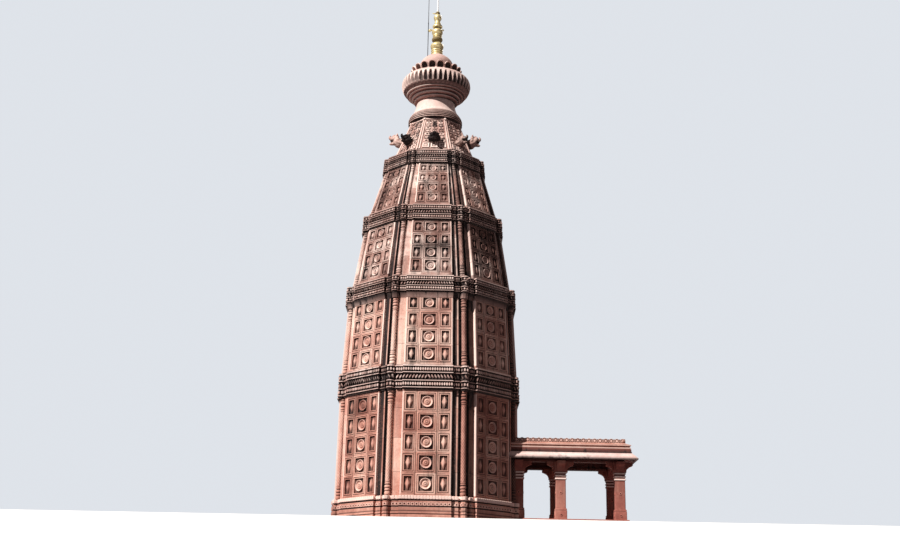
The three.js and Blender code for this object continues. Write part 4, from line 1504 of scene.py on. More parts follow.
@dataclass
class Cone(Tapered):
    """The short eight-sided cone with raised edge ribs and small carved panels."""

    foot: float = 15.48
    head: float = 17.4
    foot_apothem: float = 1.78
    head_apothem: float = 1.06
    foot_inner: float = 1.3
    head_inner: float = 0.78

    PARTS = (-1.0, -0.965, -0.935, -0.86, -0.84, 0.84, 0.86, 0.935, 0.965)
    DEPTHS = (0.08, 0.055, 0.0, 0.0, 0.03, 0.03, 0.0, 0.0, 0.055)
    # Painted black in the grooves beside each rib as shade, and pale on the rib as highlight.
    SOOT = (1.0, 1.0, -0.6, -0.5, 0.15, 0.15, -0.5, -0.6, 1.0)
    # The levels: height, how far they are moved outwards, soot, dark where they lie back as painted shade and
    # pale at the top rim as painted highlight.
    LEVELS = ((15.48, 0.03, 0.3), (15.56, 0.03, 0.2), (15.6, -0.01, 0.9), (15.66, -0.01, 0.9), (15.7, 0.02,
                                                                                                0),
              (15.76, 0, 0), (17.28, 0, 0), (17.3, 0, 0.4), (17.33, 0.035, -0.4), (17.4, 0.035, -0.4))
    # The rows of carvings from the lowest up: the middle's height and half the height.
    ROWS = ((15.9, 0.125), (16.15, 0.095), (16.34, 0.09), (16.52, 0.085), (16.69, 0.08), (16.85, 0.075),
            (17, 0.07), (17.14, 0.065), (17.255, 0.045))
    # How many carvings stand side by side, and the part of the side that they share.
    COUNT = 3
    SHARE = 0.8
    # The carvings, by parts of their size: a framed square, a lozenge with a pierced middle and a plain leaf.
    # Their soot paints shade in the hollows and pierced middles and highlight on the rims.
    FRAMED = ((1, 1, SQUARE, -0.02, 0.5), (1, 1, SQUARE, 0.035, 0), (0.96, 0.96, SQUARE, 0.042, -0.7),
              (0.62, 0.62, SQUARE, 0.042, -0.6), (0.56, 0.54, SQUARE, 0.01, 0.9), (0.4, 0.2, 1, 0.035, -0.4))
    PIERCED = ((1, 1, 2.5, -0.01, 0.5), (1, 1, 2.5, 0.022, 0.15), (0.8, 0.8, 2, 0.034, -0.3),
               (0.48, 0.5, 1.4, 0.03, 0.1), (0.36, 0.38, 1.4, 0.004, 0.85))
    PLAIN = ((1, 1, 3, -0.01, 0.5), (1, 1, 3, 0.024, 0.2), (0.74, 0.8, 2, 0.012, 0.6),
             (0.52, 0.6, 1.2, 0.036, -0.4), (0.12, 0.3, 1, 0.04, 0.2))

    def stain(self, side: Side, middle: float, height: float, random: np.random.Generator) -> float:
        """The soot of one carving: a third are darker, the west's are dark, two on the south are black.

        Args:
            side, middle, height: Its side, and where it stands across and up.
            random: What the soot is drawn from.

        Returns:
            The soot to add.
        """
        stain = random.uniform(0.0, 0.5) if random.uniform() < 0.35 else random.uniform(-0.25, 0.1)
        if side is Side.SOUTH and abs(middle) < 0.1 and 16.9 < height < 17.2:
            return 1.0
        return stain + 0.4 * (side in (Side.SOUTH_WEST, Side.WEST))

    def build(self, shop: Workshop) -> None:
        """Makes the cone: a leaning ring with raised ribs, and the carvings, drawn in with it as it narrows.

        Args:
            shop: The workshop.
        """
        random = np.random.default_rng(31)
        z, out, soot = np.array(self.LEVELS).T
        outward, along = Levels(self.apothem(z), 1, out).side(self.PARTS, self.DEPTHS)
        inner = self.foot_inner + (self.head_inner - self.foot_inner) * (z - self.foot) / (self.head
                                                                                           - self.foot)
        stained = np.clip(soot[:, None] + np.tile(self.SOOT, SIDES), -1, 1)
        parts = [hollow_ring(all_round(outward, along, z), all_round(*inner_plan(outward, along, inner), z),
                             stained)]
        for row, (centre, half) in enumerate(self.ROWS):
            width = self.apothem(centre) * HALF_SIDE * self.SHARE
            table = self.PIERCED if row % 2 else self.PLAIN if row else self.FRAMED
            shape = carved(table, 8, width / self.COUNT * 0.82, half * 0.96)
            x, y, depth = shape.points.T
            height = centre + y
            for side in Side:
                for middle in (np.arange(self.COUNT) + 0.5) * 2 / self.COUNT - 1:
                    near = (middle * width + x) / self.apothem(centre) * self.apothem(height)
                    placed = shape.moved(on_side(side.angle, self.apothem(height) - 0.03 + depth, near,
                                                 height))
                    stain = self.stain(side, middle, centre, random)
                    parts.append(placed.shaded(stain, random.uniform(-0.6, 1.4)))
        shop.piece("cone_carved", "cone", Shell.join(parts), TOP_STONE)


@dataclass
class Lion:
    """The forepart of a lion that leans out of the cone with an open mouth; eight of them go round."""

    foot: float = 16.0
    end_foot: float = 16.38
    voxel: float = 0.017

    # How each lion's size differs from the forms: outward, across and up. The others have the usual one.
    USUAL = (1, 1, 0.82)
    SIZES = {Side.SOUTH: (1, 1.25, 0.68), Side.EAST: (1, 1, 1), Side.WEST: (1, 1, 1)}

    # The soot and painted shade of each lion's head, left half and right half as seen from outside, and of
    # its
    # body: the halves turned from the lamp are painted dark, and the south lion's head black.
    SOOT = {Side.SOUTH: (1, 1, -0.3), Side.SOUTH_WEST: (0.9, 1, 0.15), Side.SOUTH_EAST: (0.3, 1, 0.5),
            Side.EAST: (0.2, 0.4, 0.9), Side.WEST: (0.1, 0, 0.1), Side.NORTH_WEST: (0.1, 0.3, 0.2),
            Side.NORTH: (0.5, 0.5, 0.4), Side.NORTH_EAST: (0.3, 0.3, 0.2)}

    def forms(self) -> Shell:
        """The lion's forms before they are made one skin: x outward, y across, z up from its underside.

        Returns:
            The neck, skull, chest, jaws and tongue, both eyes, brows, ears and teeth, and the mane.
        """
        parts = [
            tube([[1.28, 0, 0.24, 0.22], [1.5, 0, 0.25, 0.22], [1.66, 0, 0.31, 0.21], [1.76, 0, 0.38, 0.17]]),
            ball((1.79, 0, 0.43), (0.15, 0.165, 0.165)), ball((1.56, 0, 0.15), (0.2, 0.17, 0.12)),
            tube([[1.78, 0, 0.46, 0.115], [1.9, 0, 0.45, 0.095], [1.975, 0, 0.475, 0.072], [1.995, 0, 0.54,
                                                                                            0.046],
                  [1.955, 0, 0.6, 0.03]]),
            tube([[1.74, 0, 0.25, 0.1], [1.86, 0, 0.215, 0.07], [1.955, 0, 0.2, 0.05], [1.995, 0, 0.235,
                                                                                        0.03]]),
            tube([[1.82, 0, 0.29, 0.05], [1.89, 0, 0.295, 0.034], [1.94, 0, 0.32, 0.02]]),
        ]
        for sign in (-1, 1):
            parts += [
                ball((1.86, sign * 0.1, 0.52), (0.055, 0.042, 0.05)),
                ball((1.8, sign * 0.09, 0.585), (0.075, 0.036, 0.032), 0.4),
                tube([[1.7, sign * 0.11, 0.53, 0.05], [1.66, sign * 0.15, 0.61, 0.042], [1.68, sign * 0.165,
                                                                                         0.655, 0.018]]),
                tube([[1.955, sign * 0.055, 0.4, 0.022], [1.955, sign * 0.055, 0.335, 0.014]]),
                tube([[1.93, sign * 0.05, 0.235, 0.022], [1.94, sign * 0.05, 0.3, 0.012]]),
            ]
        for turn in np.linspace(-2.6, 2.6, 11):
            across, up = math.sin(turn), math.cos(turn)
            parts.append(tube([[1.7, 0.12 * across, 0.38 + 0.13 * up, 0.055], [1.63, 0.18 * across,
                                                                               0.37 + 0.19 * up, 0.05],
                               [1.58, 0.205 * across, 0.34 + 0.24 * up, 0.028]], 3))
        return Shell.join(parts)

    def skin(self, shop: Workshop) -> Shell:
        """The forms fused by a fine voxel remesh and smoothed, read back as one shell.

        Args:
            shop: The workshop.

        Returns:
            The skin, painted dark in the mouth as shade.
        """
        rough = shown("lion_forms", shop.mesh("lion_forms", self.forms()))
        fuse = rough.modifiers.new("fuse", "REMESH")
        fuse.mode, fuse.voxel_size = "VOXEL", self.voxel
        soften = rough.modifiers.new("soften", "SMOOTH")
        soften.factor, soften.iterations = 0.5, 2
        done = rough.evaluated_get(bpy.context.evaluated_depsgraph_get())
        mesh = done.to_mesh()
        points = np.empty(len(mesh.vertices) * 3)
        mesh.vertices.foreach_get("co", points)
        corners = np.empty(len(mesh.loops), int)
        mesh.loops.foreach_get("vertex_index", corners)
        points = points.reshape(-1, 3)
        x, y, z = points.T
        # Painted shade: dark inside the open mouth.
        mouth = np.clip(1.3 - np.hypot((x - 1.91) / 0.11, (z - 0.335) / 0.075), 0, 1)
        shell = Shell(points, corners.reshape(-1, 4), mouth, np.zeros(len(points)))
        done.to_mesh_clear()
        bpy.data.objects.remove(rough)
        return shell

    def build(self, shop: Workshop) -> None:
        """Makes the eight lions; the head's soot and painted shade fade into the body's behind the ears.

        Args:
            shop: The workshop.
        """
        skin = self.skin(shop)
        x, y, z = skin.points.T
        head = np.clip((x + 0.5 * z - 1.62) / 0.08, 0, 1)
        for side in Side:
            foot = self.end_foot if side in (Side.EAST, Side.WEST) else self.foot
            left, right, body = self.SOOT[side]
            half = left + (right - left) * np.clip(0.5 + y / 0.16, 0, 1)
            placed = skin.moved(skin.points * self.SIZES.get(side, self.USUAL) + [0, 0,
                                                                                  foot]).turned(side.angle)
            name = f"lion_{side.word}"
            shop.piece(f"{name}_carved", name, placed.shaded(body + (half - body) * head, 0.8), TOP_STONE)


@dataclass
class RoundTop:
    """The round pieces over the cone, from the ringed collar to the dome."""

    ribs: int = 42
    petals: int = 18
    collar_foot: float = 17.4
    neck_foot: float = 17.87
    bowl_foot: float = 18.48
    cushion_foot: float = 18.93
    crown_foot: float = 19.78
    dome_foot: float = 20.33

    # The collar's rings: radius and height.
    RINGS = ((1.19, 0.06), (1.195, 0.135), (1.19, 0.21), (1.165, 0.285), (1.125, 0.355), (1.08, 0.42))
    # The bowl's side: radius, height and soot, which paints the rolls pale as highlight and the coves dark as
    # shade.
    BOWL = ((0.85, 0, 0.9), (0.88, 0.012, 0.7), (0.93, 0.045, 0.2), (0.968, 0.09, -0.4), (0.975, 0.105, -1),
            (0.975, 0.125, -0.9), (0.93, 0.132, 1), (0.935, 0.14, 1), (1, 0.165, 0.6), (1.06, 0.2, -0.4),
            (1.085, 0.235, -1), (1.088, 0.262, -0.9), (1.035, 0.27, 1), (1.04, 0.28, 1), (1.13, 0.315, 0.4),
            (1.2, 0.345, -1), (1.205, 0.36, -0.9), (1.175, 0.366, 1), (1.25, 0.39, 0.4), (1.305, 0.412, -0.5),
            (1.315, 0.437, -1), (1.29, 0.45, 0.6))

    def turned_piece(self, side: Table | Array, foot: float, soot: Number = 0.0, lean: float = 0.0,
                     shade: float = 0.0, steps: int = 96) -> Shell:
        """A plain round piece.

        Args:
            side, soot: The [radius, height] points of its side, and their soot.
            foot: The height of its foot.
            lean: How much darker the east is painted than the middle, as shade on the side turned from the
                lamp.
            shade, steps: The stone's shade, and how many columns go round.

        Returns:
            The shell.
        """
        east = np.cos(np.arange(steps) * math.tau / steps)
        stained = np.clip(np.reshape(soot, (-1, 1)) + lean * east, -1, 1)
        return lathe(np.array(side) + [0, foot], steps, 1.0, stained, shade)

    def collar(self) -> Shell:
        """The collar: a short skirt, then rings that step in, each a roll painted pale as highlight over a
        groove painted black as shade.

        Returns:
            The shell.
        """
        side, soot = [(1.12, 0), (1.15, 0.04), (1.175, 0.055)], [1.0, 1.0, 0.8]
        for number, (r, z) in enumerate(self.RINGS):
            side += [(r - 0.022, z), (r, z + 0.014), (r + 0.002, z + 0.03), (r - 0.006, z + 0.044),
                     (r - 0.026, z + 0.052)]
            soot += [1.0, 0.4, -0.5 - 0.06 * number, 0.2, 1.0]
        return self.turned_piece(side + [(1.05, 0.47)], self.collar_foot, soot + [0.4])

    def neck(self) -> Shell:
        """The smooth neck, drawn in as it rises."""
        side = eased([(1.04, 0), (1.03, 0.04), (0.965, 0.15), (0.9, 0.33), (0.858, 0.52), (0.85, 0.61)], 5)
        return self.turned_piece(side, self.neck_foot, shade=0.8)

    def bowl(self) -> Shell:
        """The bowl, in steps that widen upwards, each a roll painted pale as highlight over a cove painted
        dark as shade, and darker on the east, away from the lamp.
        """
        radius, height, soot = np.array(self.BOWL).T
        return self.turned_piece(np.stack([radius, height], -1), self.bowl_foot, soot, 0.45, -0.5)

    def cushion(self) -> Shell:
        """The cushion: smooth at the shoulder, then gouged into pockets between ribs that narrow downwards.

        With s the place across a rib's share of the round, 0 in the pocket's middle and 1 on the rib, and w
        half the pocket's width, the radius is the side's less depth (1 - (s / w)^4) inside the pocket.

        Returns:
            The shell.
        """
        side = eased([(1.28, 0), (1.33, 0.03), (1.43, 0.12), (1.51, 0.28), (1.535, 0.45), (1.49, 0.64),
                      (1.36, 0.78),
                      (1.2, 0.84), (1.1, 0.85)], 5)
        per_rib = 10
        across = np.tile(np.abs(np.arange(per_rib) / per_rib * 2 - 1), self.ribs)
        up = (side[:, 1] / side[-1, 1])[:, None]
        wide = np.interp(up, [0.17, 0.22, 0.32, 0.48, 0.62, 0.7, 0.74], [0.3, 0.97, 0.9, 0.74, 0.55, 0.4,
                                                                         0.05])
        deep = np.interp(up, [0.16, 0.22, 0.32, 0.62, 0.7, 0.74], [0, 0.06, 0.09, 0.09, 0.05, 0])
        pocket = np.clip(1 - (across / wide) ** 4, 0, 1)
        # Painted shade: dark pockets, less dark on the west where they face the lamp, and a darker underside;
        # the ribs and the teeth are painted pale as highlight.
        under = np.clip((0.24 - up) / 0.05, 0, 1)
        teeth = (across > 0.55) * np.clip(1 - abs(up - 0.07) / 0.05, 0, 1)
        turn = np.cos(np.arange(len(across)) * math.tau / len(across))
        hollow = np.clip(pocket * 1.6, 0, 1) * np.clip(deep / 0.04, 0, 1) * np.clip(1.25 + 0.9 * turn, 0.35,
                                                                                    1)
        soot = hollow - 0.6 * (1 - pocket) * (up > 0.2) * (up < 0.74) + 0.35 * under - 0.4 * teeth
        swell = 1 - deep * pocket / side[:, :1]
        return lathe(side + [0, self.cushion_foot], self.ribs * per_rib, swell, soot, 0.5 - 2.6 * under)

    def petal(self) -> Shell:
        """A spoon-shaped petal that leans out, with a thick rim painted pale as highlight round a hollow
        painted black as shade.

        A carving's point (x, y, d) goes to r = foot + (y + h) sin l + d cos l, z = (y + h) cos l - d sin l
        and angle x / r, where h is half the petal's height and l its lean; the tip is thickened.

        Returns:
            One petal, on the east.
        """
        half, lean = 0.225, math.radians(22)
        shape = carved([
            [0.1, 0.7111, 2, -0.17, 0.6], [0.155, 0.94, 2, -0.11, 0.2], [0.176, 1, 2.6, -0.02, -0.1],
            [0.17, 0.97, 2.6, 0.024, -0.6], [0.156, 0.89, 2.5, 0.03, -0.5], [0.14, 0.8, 2.4, 0.012, 0.5],
            [0.122, 0.68, 2.2, -0.03, 1], [0.05, 0.3, 2, -0.045, 1],
        ], 20, height=half)
        x, y, d = shape.points.T
        d = d + 0.03 * np.clip(y / half, 0, 1) ** 2
        up = y + half
        r = 0.93 + up * math.sin(lean) + d * math.cos(lean)
        z = 0.01 + up * math.cos(lean) - d * math.sin(lean)
        turn = x / r * np.interp(up, [0, half, 2 * half], [0.8, 1, 1])
        return shape.moved(np.stack([r * np.cos(turn), r * np.sin(turn), self.crown_foot + z], -1))

    def crown(self) -> Shell:
        """The crown: a low drum with a ring of petals and a small pale knob between each two at the foot.

        Returns:
            The closed shells as one.
        """
        # The drum is painted darker behind the petals, as shade.
        drum = [(1.09, 0), (1.09, 0.02), (1.085, 0.04), (0.98, 0.06), (0.9, 0.09), (0.84, 0.18), (0.82, 0.36),
                (0.79, 0.5), (0.78, 0.55)]
        base = self.turned_piece(drum, self.crown_foot, [0.2, -0.2, -0.2, 0.5, 0.9, 1, 0.7, 0, 0], shade=0.4,
                                 steps=64)
        petal, knob = self.petal(), ball((1.01, 0, self.crown_foot + 0.075), (0.05, 0.055, 0.07)).shaded(-0.3,
                                                                                                         0.8)
        step = math.tau / self.petals
        random = np.random.default_rng(17)
        ring = []
        for number in range(self.petals):
            # Painted light: the petals that face the lamp lose their painted shade.
            lit = 1.2 * max(0.0, -math.cos(number * step + 0.5))
            soot, shade = random.uniform(0, 0.25) - lit, random.uniform(-0.5, 0.8)
            ring.append(petal.turned(number * step).shaded(soot, shade))
        return Shell.join([base] + ring + [knob.turned((number + 0.5) * step)
                                           for number in range(self.petals)])

    def dome(self) -> Shell:
        """The smooth dome under the finial."""
        side = eased([(0.76, 0), (0.74, 0.13), (0.68, 0.27), (0.58, 0.39), (0.44, 0.5), (0.31, 0.58),
                      (0.26, 0.61)], 5)
        return self.turned_piece(side, self.dome_foot, shade=0.8, steps=72)

    def build(self, shop: Workshop) -> None:
        """Makes the six pieces.

        Args:
            shop: The workshop.
        """
        shop.piece("collar_ringed", "collar", self.collar(), TOP_STONE)
        shop.piece("neck_smooth", "neck", self.neck(), NECK_STONE)
        shop.piece("bowl_stepped", "bowl", self.bowl(), BOWL_STONE)
        shop.piece("cushion_ribs", "ribbed_cushion", self.cushion(), NECK_STONE)
        shop.piece("crown_petals", "petal_crown", self.crown(), CROWN_STONE)
        shop.piece("dome_smooth", "dome", self.dome(), CROWN_STONE)


@dataclass
class Finial:
    """The gilded finial of pots, rings and discs, its spike, and the lightning rod beside it."""

    pot_foot: float = 20.94
    middle_foot: float = 21.64
    upper_foot: float = 22.45
    spike_foot: float = 23.18
    tip: float = 24.05
    rod_offset: float = 0.415
    rod_foot: float = 20.77
    rod_top: float = 24.3

    LOWER = ((0.262, -0.01), (0.262, 0.04), (0.245, 0.06), (0.245, 0.095), (0.262, 0.11), (0.262, 0.145),
             (0.245, 0.16),
             (0.245, 0.2), (0.262, 0.215), (0.262, 0.25), (0.248, 0.275), (0.262, 0.335), (0.288, 0.395),
             (0.297, 0.445),
             (0.29, 0.495), (0.262, 0.55), (0.205, 0.605), (0.14, 0.645), (0.11, 0.67), (0.11, 0.7))
    MIDDLE = ((0.11, 0), (0.13, 0.012), (0.225, 0.035), (0.243, 0.07), (0.24, 0.13), (0.205, 0.165),
              (0.19, 0.19),
              (0.205, 0.2), (0.205, 0.225), (0.185, 0.235), (0.185, 0.255), (0.205, 0.265), (0.21, 0.3),
              (0.2, 0.34),
              (0.225, 0.38), (0.245, 0.44), (0.246, 0.5), (0.225, 0.56), (0.185, 0.61), (0.13, 0.64),
              (0.12, 0.67),
              (0.13, 0.69), (0.2, 0.71), (0.225, 0.74), (0.222, 0.79), (0.17, 0.81))
    UPPER = ((0.15, 0), (0.15, 0.03), (0.138, 0.04), (0.138, 0.08), (0.15, 0.09), (0.148, 0.12),
             (0.132, 0.135), (0.125, 0.2),
             (0.128, 0.26), (0.15, 0.3), (0.172, 0.35), (0.18, 0.41), (0.165, 0.48), (0.125, 0.54),
             (0.08, 0.57), (0.08, 0.6),
             (0.105, 0.62), (0.108, 0.66), (0.07, 0.69), (0.05, 0.73))

    # The small ears beside the middle pot and the bar beside the upper one: [x, y, z, radius] points.
    EARS = (((-0.2, 0, 22.2, 0.03), (-0.3, 0, 22.24, 0.045), (-0.36, 0, 22.2, 0.05), (-0.33, 0, 22.14, 0.03)),
            ((0.19, 0, 22.22, 0.028), (0.26, 0, 22.25, 0.03), (0.27, 0, 22.2, 0.02)))
    BAR = ((-0.05, 0, 23.08, 0.022), (-0.15, 0, 23.075, 0.026), (-0.24, 0, 23.09, 0.014))

    def pot(self, side: Table, foot: float, dark: tuple[float, float] | None = None) -> Shell:
        """A turned pot, dark in its hollows.

        Args:
            side, foot: The [radius, height] points of its side, and the height of its foot.
            dark: The heights over the foot between which it is dark too.

        Returns:
            The shell.
        """
        r, z = np.array(side).T
        soot = np.zeros(len(z))
        soot[1:-1] = 0.8 * np.clip(30 * ((r[:-2] + r[2:]) / 2 - r[1:-1]), 0, 1)
        if dark is not None:
            soot[(z > dark[0]) & (z < dark[1])] = 0.85
        return lathe(np.stack([r, z + foot], -1), 40, 1.0, soot[:, None])

    def build(self, shop: Workshop) -> None:
        """Makes the pots, the spike and the rod.

        Args:
            shop: The workshop.
        """
        shop.piece("finial_lower_ringed", "finial_lower_pot", self.pot(self.LOWER, self.pot_foot), GILT)
        middle = [self.pot(self.MIDDLE, self.middle_foot, (0.02, 0.16))] + [tube(ear) for ear in self.EARS]
        shop.piece("finial_middle_ringed", "finial_middle_pot", Shell.join(middle), GILT)
        upper = [self.pot(self.UPPER, self.upper_foot, (0.6, 0.7)), tube(self.BAR)]
        shop.piece("finial_upper_ringed", "finial_upper_pot", Shell.join(upper), GILT)
        foot, tip = self.spike_foot, self.tip
        spike = lathe([(0.042, foot), (0.046, foot + 0.02), (0.04, foot + 0.05),
                       (0.036, foot + 0.7 * (tip - foot)),
                       (0.022, tip - 0.08), (0.006, tip)], 20)
        shop.piece("finial_spike_turned", "finial_spike", spike, TIP_METAL)
        foot, top = self.rod_foot, self.rod_top
        joint = (foot + top) / 2
        rod = lathe([(0.03, foot), (0.03, foot + 0.1), (0.018, foot + 0.12), (0.017, joint),
                     (0.021, joint + 0.01),
                     (0.021, joint + 0.07), (0.015, joint + 0.08), (0.013, top - 0.06), (0.004, top)], 12)
        rod = rod.moved(rod.points - [self.rod_offset, 0, 0])
        shop.piece("lightning_rod_jointed", "lightning_rod", rod, IRON)


@dataclass
class Porch:
    """The pillared porch against the tower's +X side."""

    rows: tuple[float, float, float] = (3.64, 5.31, 7.655)
    half_depth: float = 1.4
    column: float = 0.39
    floor_edge: float = 0.12
    capital_foot: float = 2.145
    beam_foot: float = 2.54
    beam_top: float = 2.885
    roof_top: float = 3.04
    cornice_top: float = 3.285
    parapet_top: float = 3.485
    eave_reach: float = 0.48
    eave_drop: float = 0.275
    bands: tuple[float, float, float] = (1.84, 1.955, 2.07)
    wall_line: float = 3.72
    crest: float = 0.1
    crest_count: int = 20

    # A column's foot and each pale band on its shaft: reach beyond the shaft, height, soot.
    # Painted shade in the foot's groove and along the edges of the pale bands.
    COLUMN_FOOT = ((0.04, 0.3, 0.3), (0.04, 0.62, 0.1), (0.028, 0.635, 0.7), (0.028, 0.645, 0.7),
                   (0.034, 0.655, 0.1),
                   (0.03, 0.7, 0.1), (0.004, 0.715, 0.6), (0, 0.73, 0.3))
    BAND = ((0, -0.012, 0.4), (0.006, -0.006, 0.9), (0.03, 0.006, -0.9), (0.03, 0.054, -0.9), (0.006, 0.066,
                                                                                               0.9))
    # The small disc on each face of a column, and a crest by parts of its radius; both are painted dark in
    # their hollows as shade, and the crest pale on its rims as highlight.
    DISC = ((0.055, 0.055, 2, -0.01, 0.5), (0.055, 0.055, 2, 0.012, 0), (0.035, 0.035, 2, 0.016, 0),
            (0.022, 0.022, 2, 0.002, 0.8))
    CREST = ((1, 1, 2, -0.12, 0.2), (1, 1, 2, -0.01, 0.6), (0.94, 0.94, 2, 0, -0.4), (0.84, 0.84, 2, 0, -0.4),
             (0.8, 0.8, 2, -0.016, 1), (0.5, 0.5, 2, -0.016, 1), (0.42, 0.42, 2, 0, -0.4),
             (0.2, 0.2, 2, 0.004, -0.3))
    # The eave: rise over its foot, how far its top and its underside lie back from its lip, thickness, soot.
    EAVE = ((0, 0.006, 0.09, 0, 0.9), (0.006, 0, 0.09, 0, 0.8), (0.048, 0, 0.1, 0.01, 0.7),
            (0.066, 0.022, 0.12, 0.01, 0.4), (0.17, 0.12, 0.22, 0.01, -0.15), (0.275, 0.23, 0.32, 0.01, 0.1))
    # The cornice: reach, rise over the roof, soot, which paints the steps that reach out pale as highlight
    # and those set back dark as shade.
    CORNICE = ((0.2, 0, 0.5), (0.205, 0.01, 0.1), (0.225, 0.02, -0.6), (0.235, 0.06, -0.5), (0.215, 0.075,
                                                                                             0.3),
               (0.18, 0.09, 0.4), (0.175, 0.11, 0.2), (0.21, 0.125, 0), (0.24, 0.145, -0.3), (0.24, 0.17,
                                                                                              -0.3),
               (0.2, 0.185, 0.4), (0.13, 0.215, 0))

    @property
    def end(self) -> float:
        """The outer face of the last columns."""
        return self.rows[-1] + self.column / 2

    @property
    def start(self) -> float:
        """The inner face of the first columns."""
        return self.rows[0] - self.column / 2

    def outline(self, out: Array, z: Array) -> Array:
        """The plan moved outwards at each height, from the inner end round the open sides and back.

        Args:
            out: How far, at each level.
            z: The heights.

        Returns:
            The points, levels by 4 by 3.
        """
        out, z = np.asarray(out, float)[:, None], np.asarray(z, float)[:, None]
        depth, end, start = self.half_depth + out, self.end + out, self.start - 0.6 * out
        x, y = np.hstack([start, end, end, start]), np.hstack([-depth, -depth, depth, depth])
        return np.stack([x, y, np.broadcast_to(z, x.shape)], -1)

    def paved(self, table: Table) -> Shell:
        """The floor, which runs up to the tower's slanting sides and its east side.

        Args:
            table: Its [reach, height, soot] levels.

        Returns:
            The shell.
        """
        out, z, soot = np.array(table).T
        points = self.outline(out, z)
        depth = self.half_depth + out
        points[:, (0, 3), 0] = (self.wall_line * math.sqrt(2) - depth)[:, None]
        wall = np.full_like(depth, self.wall_line)
        sides = [np.stack([wall, sign * wall * HALF_SIDE, z], -1)[:, None] for sign in (1, -1)]
        return capped(np.concatenate([points, *sides], axis=1), soot[:, None])

    def rim(self, table: Table, inner: float) -> Shell:
        """A band round the three open sides, with a plain back.

        Args:
            table: Its [reach, height, soot] levels.
            inner: Its back's reach.

        Returns:
            The shell.
        """
        out, z, soot = np.array(table).T
        inside = self.outline(np.full(len(z), inner), z)
        outside = self.outline(out, z)
        inside[:, (0, 3), 0] = outside[:, (0, 3), 0]
        return hollow_ring(outside, inside, soot[:, None], closed=False)

    def column_shell(self, x: float, y: float, shade: float) -> Shell:
        """A column: block foot, shaft with three pale bands, capital block, four brackets and small discs.

        Args:
            x, y: Where it stands.
            shade: Its stone's shade.

        Returns:
            The closed shells as one.
        """
        half, top, foot = self.column / 2, self.beam_foot, self.capital_foot
        steps = list(self.COLUMN_FOOT)
        for band in self.bands:
            steps += [(reach, band + rise, soot) for reach, rise, soot in self.BAND]
        steps += [(0, foot - 0.004, 0.5), (0.05, foot, 0.4), (0.055, foot + 0.04, 0.2), (0.055, top, 0.3)]
        parts = [squared(step_levels(steps, (half, half)), (x, y), 0.016, shade)]
        curve = eased([(0.05, foot), (0.07, foot + 0.09), (0.13, foot + 0.19), (0.25, foot + 0.26),
                       (0.325, foot + 0.29),
                       (0.33, top - 0.02)], 4)
        levels = [[half + reach, half - 0.035, z, 0.25] for reach, z in curve]
        levels += [[*levels[-1][:2], z, 0.1] for z in (top - 0.015, top)]
        parts.append(squared(levels, (x, y), 0.014, shade))
        parts.append(squared([[b, a, *rest] for a, b, *rest in levels], (x, y), 0.014, shade))
        angles = np.arange(4) * math.pi / 2
        for height, reach in ((0.46, half + 0.04), (1.32, half)):
            origins = np.stack([x + reach * np.cos(angles), y + reach * np.sin(angles), np.full(4, height)],
                               -1)
            parts.append(carved(self.DISC, 12).stamped(origins, angles))
        return Shell.join(parts)

    def beam(self, x: tuple[float, float], y: tuple[float, float]) -> Shell:
        """A beam with a fillet along its foot and another along its head.

        Args:
            x, y: Where it starts and ends, outwards and to the side.

        Returns:
            The shell.
        """
        out, foot, top = 0.012, self.beam_foot, self.beam_top
        # The beam is painted dark all over, as the shade under the eave.
        steps = [(out, foot, 0.8), (out, foot + 0.06, 0.5), (0, foot + 0.072, 0.9), (0, top - 0.1, 0.8),
                 (out, top - 0.08, 0.8), (out, top, 0.9)]
        half = ((x[1] - x[0]) / 2 - out, (y[1] - y[0]) / 2 - out)
        return squared(step_levels(steps, half), ((x[0] + x[1]) / 2, (y[0] + y[1]) / 2), 0.008)

    def eave(self, edge: Edge) -> Shell:
        """One side's sloping eave: out and down from the roof's edge to a lip, mitred at the corners.

        Args:
            edge: The side.

        Returns:
            The shell.
        """
        rise, back, inner_back, drop, soot = np.array(self.EAVE).T
        z = self.beam_top - self.eave_drop + rise
        outer = self.outline(self.eave_reach - back, z)
        inner = self.outline(self.eave_reach - inner_back, z - drop)
        inner[:, (0, 3), 0] = outer[:, (0, 3), 0]
        t = np.linspace(0, 1, 13)[None, :, None]
        first, last = edge.value, edge.value + 1
        grids = [grid[:, first:last] * (1 - t) + grid[:, last:last + 1] * t for grid in (outer, inner)]
        return hollow_ring(*grids, soot[:, None], closed=False)

    def crests(self) -> Shell:
        """The parapet's round crests, each a thick disc with a ring and a boss on its outer face.

        Returns:
            The closed shells as one.
        """
        r, count = self.crest, self.crest_count
        reach = 0.04
        depth, end = self.half_depth + reach, self.end + reach
        middles = (np.arange(count) + 0.5) / count
        x, y = self.start + (end - self.start) * middles, depth * (2 * middles - 1)
        rows = [(x, 0 * x - depth), (0 * y + end, y), (x, 0 * x + depth)]
        origins = np.concatenate([np.stack([*row, 0 * x + self.parapet_top - r - 0.002], -1) for row in rows])
        angles = np.repeat([-math.pi / 2, 0, math.pi / 2], count)
        shade = np.random.default_rng(5).uniform(-0.6, 1.0, len(origins))
        return carved(self.CREST, 14, r, r).stamped(origins, angles, 0.0, shade)

    def build(self, shop: Workshop) -> None:
        """Makes the porch's pieces.

        Args:
            shop: The workshop.
        """
        edge, top, roof, foot = self.floor_edge, self.cornice_top, self.roof_top, self.beam_top
